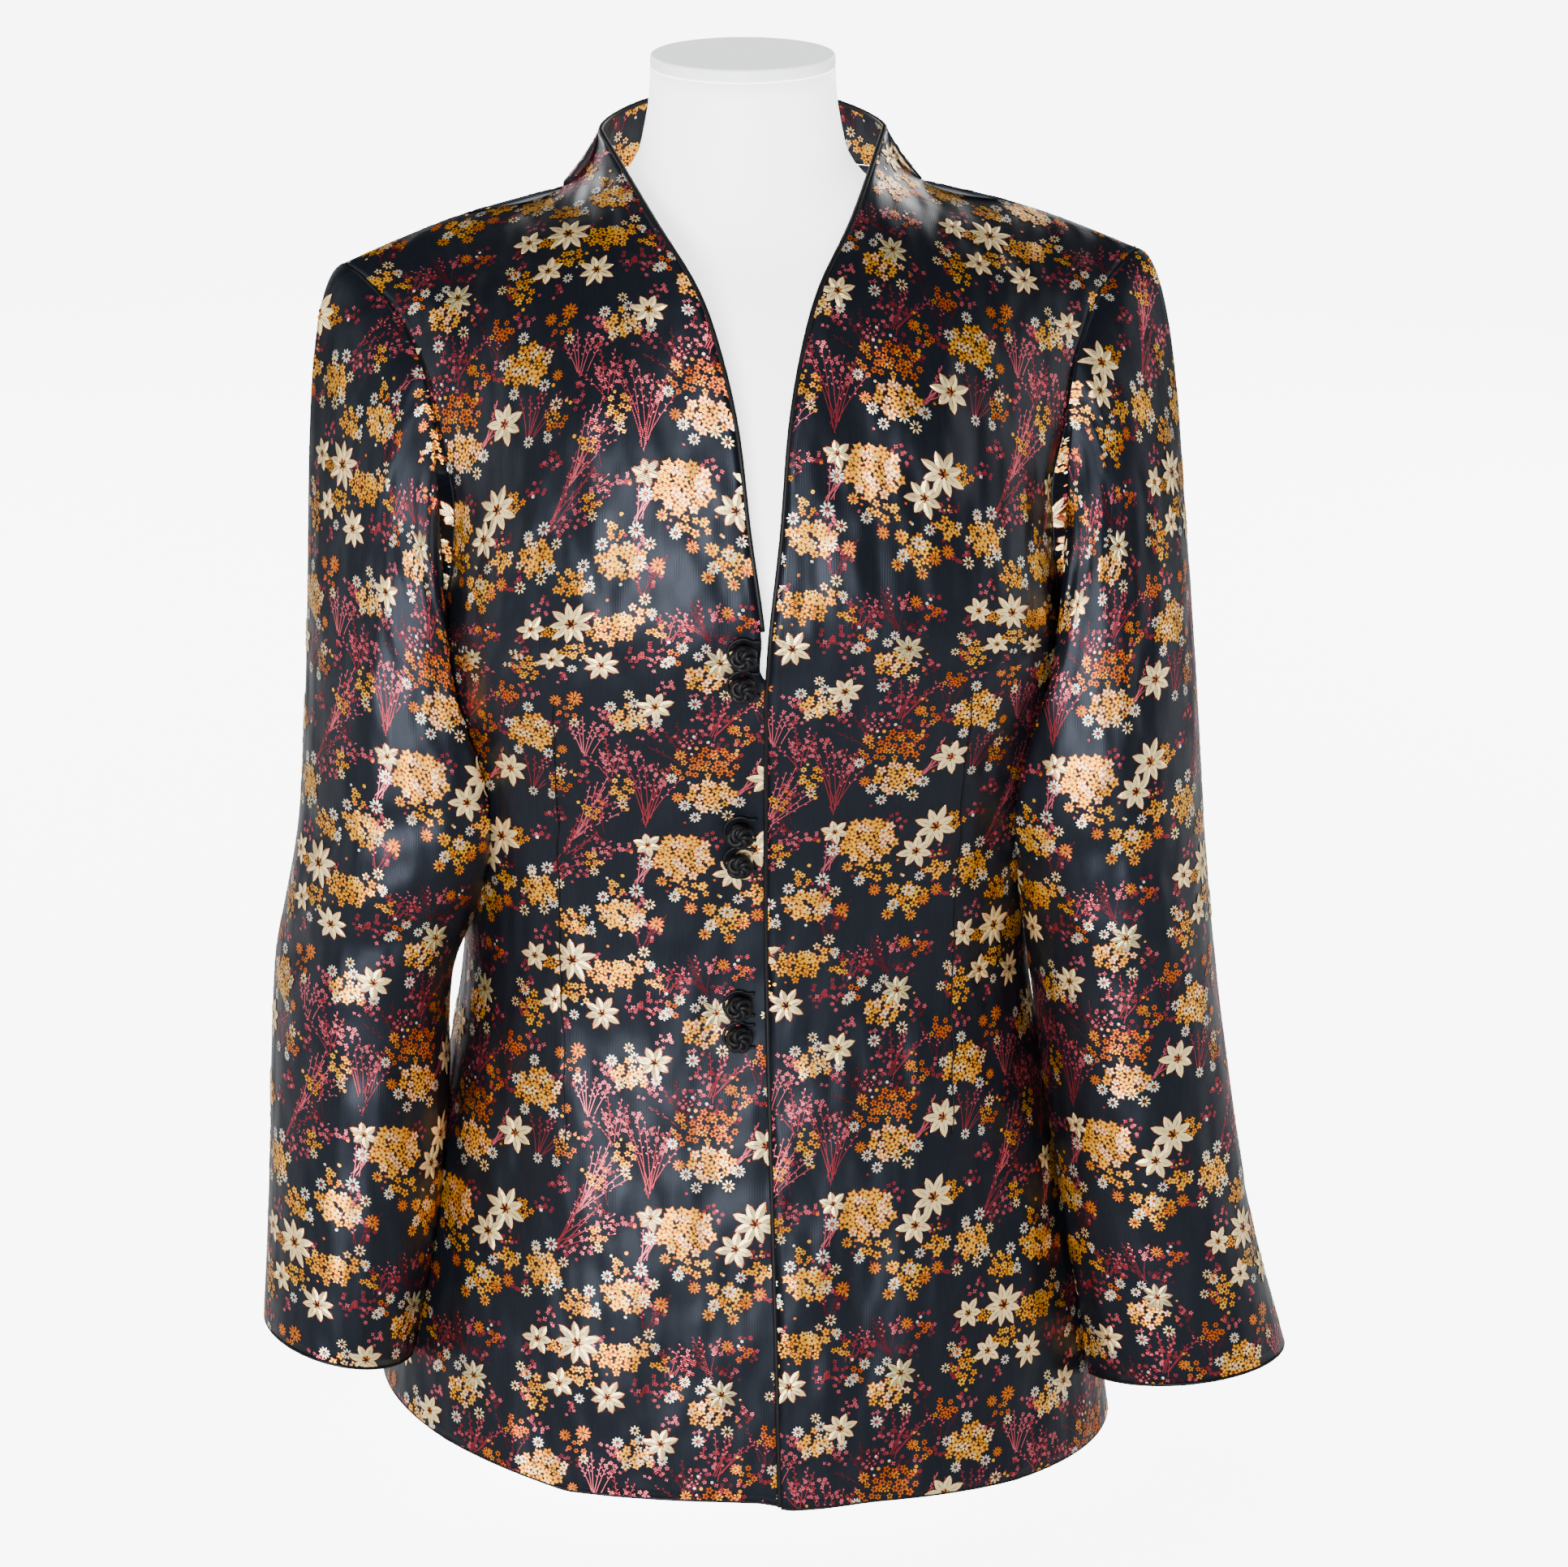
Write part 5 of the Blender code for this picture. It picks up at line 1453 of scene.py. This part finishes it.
# %% Torso and neck cap
FORM = (
    Section(0.0000, 0.108, 0.057, 0.060, 2.2), Section(0.0200, 0.128, 0.074, 0.076, 2.3),
    Section(0.0500, 0.143, 0.090, 0.090, 2.3), Section(0.1300, 0.145, 0.094, 0.092, 2.4),
    Section(0.2000, 0.136, 0.091, 0.085, 2.4), Section(0.2800, 0.129, 0.088, 0.078, 2.4),  # waist
    Section(0.3500, 0.133, 0.095, 0.077, 2.5), Section(0.4200, 0.141, 0.111, 0.083, 2.6),
    Section(0.4700, 0.143, 0.120, 0.090, 2.6), Section(0.5200, 0.142, 0.115, 0.095, 2.5),
    Section(0.5650, 0.145, 0.103, 0.095, 2.4), Section(0.6000, 0.149, 0.088, 0.088, 2.3),
    Section(0.6220, 0.146, 0.073, 0.078, 2.2), Section(0.6380, 0.132, 0.058, 0.066, 2.1),
    Section(0.6500, 0.104, 0.050, 0.057, 2.0), Section(0.6620, 0.074, 0.047, 0.053, 2.0),
    Section(0.6780, 0.055, 0.046, 0.050, 2.0), Section(0.6980, 0.048, 0.046, 0.048, 2.0),  # neck
    Section(0.7262, 0.045, 0.045, 0.045, 2.0),
)
NECK_RADIUS, CAP_THICKNESS, CAP_ROUNDING, FORM_AROUND = 0.0450, 0.0065, 0.0014, 96
STEPS_PER_SECTION = 3


def signed_power(value, power):
    return np.sign(value) * abs(value) ** power


def form_ring(verts, height, below):
    """Moves a ring of points from the section that it was drawn out of to the one at this height."""
    half_width, front, back, squareness = body_section(height, FORM)
    for vert in verts:
        old_depth = below[2] if vert.co.y > 0 else below[1]
        across = signed_power(vert.co.x / below[0], below[3] / 2)
        along = signed_power(vert.co.y / old_depth, below[3] / 2)
        size = hypot(across, along)
        depth = back if along > 0 else front
        vert.co = (
            half_width * signed_power(across / size, 2 / squareness),
            depth * signed_power(along / size, 2 / squareness), height)
    return half_width, front, back, squareness


bm = bmesh.new()
heights = np.concatenate([
    *(np.linspace(low.height, high.height, STEPS_PER_SECTION, endpoint=False)
      for low, high in zip(FORM, FORM[1:])), [FORM[-1].height]])
start = bmesh.ops.create_circle(bm, cap_ends=True, segments=FORM_AROUND, radius=0.1)["verts"]
section = form_ring(start, 0.0, (0.1, 0.1, 0.1, 2.0))
edges = list({edge for vert in start for edge in vert.link_edges})
for height in heights[1:]:
    made = bmesh.ops.extrude_edge_only(bm, edges=edges)["geom"]
    verts = [item for item in made if isinstance(item, bmesh.types.BMVert)]
    edges = [item for item in made if isinstance(item, bmesh.types.BMEdge)]
    section = form_ring(verts, height, section)
bmesh.ops.contextual_create(bm, geom=edges)
bmesh.ops.recalc_face_normals(bm, faces=bm.faces)
torso = finished("torso", mesh_of(bm, "torso"), [form_skin], ["form_torso"])

bm = bmesh.new()
bmesh.ops.create_cone(
    bm, segments=FORM_AROUND, radius1=NECK_RADIUS, radius2=NECK_RADIUS, depth=CAP_THICKNESS,
    cap_ends=True)
rims = [edge for edge in bm.edges if abs(edge.verts[0].co.z - edge.verts[1].co.z) < 1e-6]
bmesh.ops.bevel(
    bm, geom=rims, offset=CAP_ROUNDING, offset_type="OFFSET", segments=4, profile=0.5, affect="EDGES",
    material=-1)
low_cap, high_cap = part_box("form_neck_cap")
bmesh.ops.translate(bm, vec=(0, 0, (low_cap[2] + high_cap[2]) / 2), verts=bm.verts)
mesh = mesh_of(bm, "neck_cap", soft=False)
for polygon in mesh.polygons:
    polygon.use_smooth = abs(polygon.normal.z) < 0.999
finished("neck_cap", mesh, [cap_skin], ["form_neck_cap"])
print("form with", len(torso.data.polygons), "faces")

# %% [markdown]
# ## Shells and their panels
#
# The loop below only looks up each shell's panel and does nothing further with it.


for name, piece in shells.items():
    panel = PANELS[name]

# %% [markdown]
# ## Stage, light and camera
#
# A pale floor and a near-white room, as in a shop. The key light stands low in front, so that the satin
# is brightest where it faces the viewer. Two weaker strips stand at the sides, a small light hangs
# overhead for the shoulders, and two stand behind for the back.

# %% Stage
FLOOR_RADIUS = 60.0  # so wide that its edge can't be told from the horizon
FLOOR_GLOW, ROOM_GLOW, ROOM_LIGHT = 7.6, 8.6, 0.20
bm = bmesh.new()
bmesh.ops.create_circle(bm, cap_ends=True, segments=64, radius=FLOOR_RADIUS)
bmesh.ops.translate(bm, vec=(0, 0, -0.0002), verts=bm.verts)
mesh = mesh_of(bm, "floor", soft=False)
floor = bpy.data.objects.new("floor", mesh)
bpy.context.scene.collection.objects.link(floor)
paper, tree, shader = new_material("pale paper", {
    "Base Color": linear("#f0f0f1"), "Roughness": 0.9, "Emission Color": linear("#fbfbff")})
# floor and room are lit up to white as a shop's backdrop is, but only to the eye, so that they cast
# no light back on the cloth
seen = add_node(tree, "ShaderNodeLightPath")
glow = add_node(
    tree, "ShaderNodeMath", {0: seen.outputs["Is Camera Ray"]}, {1: FLOOR_GLOW}, operation="MULTIPLY")
tree.links.new(glow.outputs["Value"], shader.inputs["Emission Strength"])
mesh.materials.append(paper)

world = bpy.data.worlds.new("room")
world.use_nodes = True
room = world.node_tree.nodes["Background"]
room.inputs["Color"].default_value = linear("#e9edf4")
seen = add_node(world.node_tree, "ShaderNodeLightPath")
glow = add_node(
    world.node_tree, "ShaderNodeMath", {0: seen.outputs["Is Camera Ray"]},
    {1: ROOM_GLOW, 2: ROOM_LIGHT}, operation="MULTIPLY_ADD")
world.node_tree.links.new(glow.outputs["Value"], room.inputs["Strength"])
bpy.context.scene.world = world


def soft_light(name, place, target, size, watts):
    """A rectangular area light at a place, turned to its target. All are in metres."""
    light = bpy.data.lights.new(name, "AREA")
    light.shape, light.size, light.size_y, light.energy = "RECTANGLE", *size, watts
    lamp = bpy.data.objects.new(name, light)
    lamp.location = place
    lamp.rotation_euler = (Vector(target) - Vector(place)).to_track_quat("-Z", "Y").to_euler()
    bpy.context.scene.collection.objects.link(lamp)


for light in (  # name, place, target, size, watts
        ("key", (-0.6, -2.7, 0.62), (0.0, 0.0, 0.40), (0.9, 0.8), 172),
        ("left strip", (-1.9, -0.1, 0.6), (-0.1, 0.0, 0.35), (0.7, 1.3), 13),
        ("right strip", (1.9, -0.1, 0.6), (0.1, 0.0, 0.35), (0.7, 1.3), 13),
        ("overhead", (0.0, 0.15, 2.4), (0.0, 0.0, 0.70), (0.5, 0.5), 8),
        ("back left", (-1.2, 2.0, 1.1), (0.0, 0.0, 0.40), (0.9, 0.9), 34),
        ("back right", (1.3, 1.9, 1.1), (0.0, 0.0, 0.40), (0.9, 0.9), 34)):
    soft_light(*light)
print("stage with six soft lights")

# %% Camera
TURN, TILT = radians(4.94), radians(18.1)
camera = bpy.data.objects.new("camera", bpy.data.cameras.new("camera"))
camera.data.sensor_width, camera.data.lens = 36.0, 124.0
camera.location = (-0.204, -2.592, 1.210)  # 2.6 m in front and 1.2 m above the floor
forward = Vector((sin(TURN) * cos(TILT), cos(TURN) * cos(TILT), -sin(TILT)))
camera.rotation_euler = forward.to_track_quat("-Z", "Y").to_euler()
bpy.context.scene.collection.objects.link(camera)
bpy.context.scene.camera = camera
print("camera at", [round(part, 3) for part in camera.location])
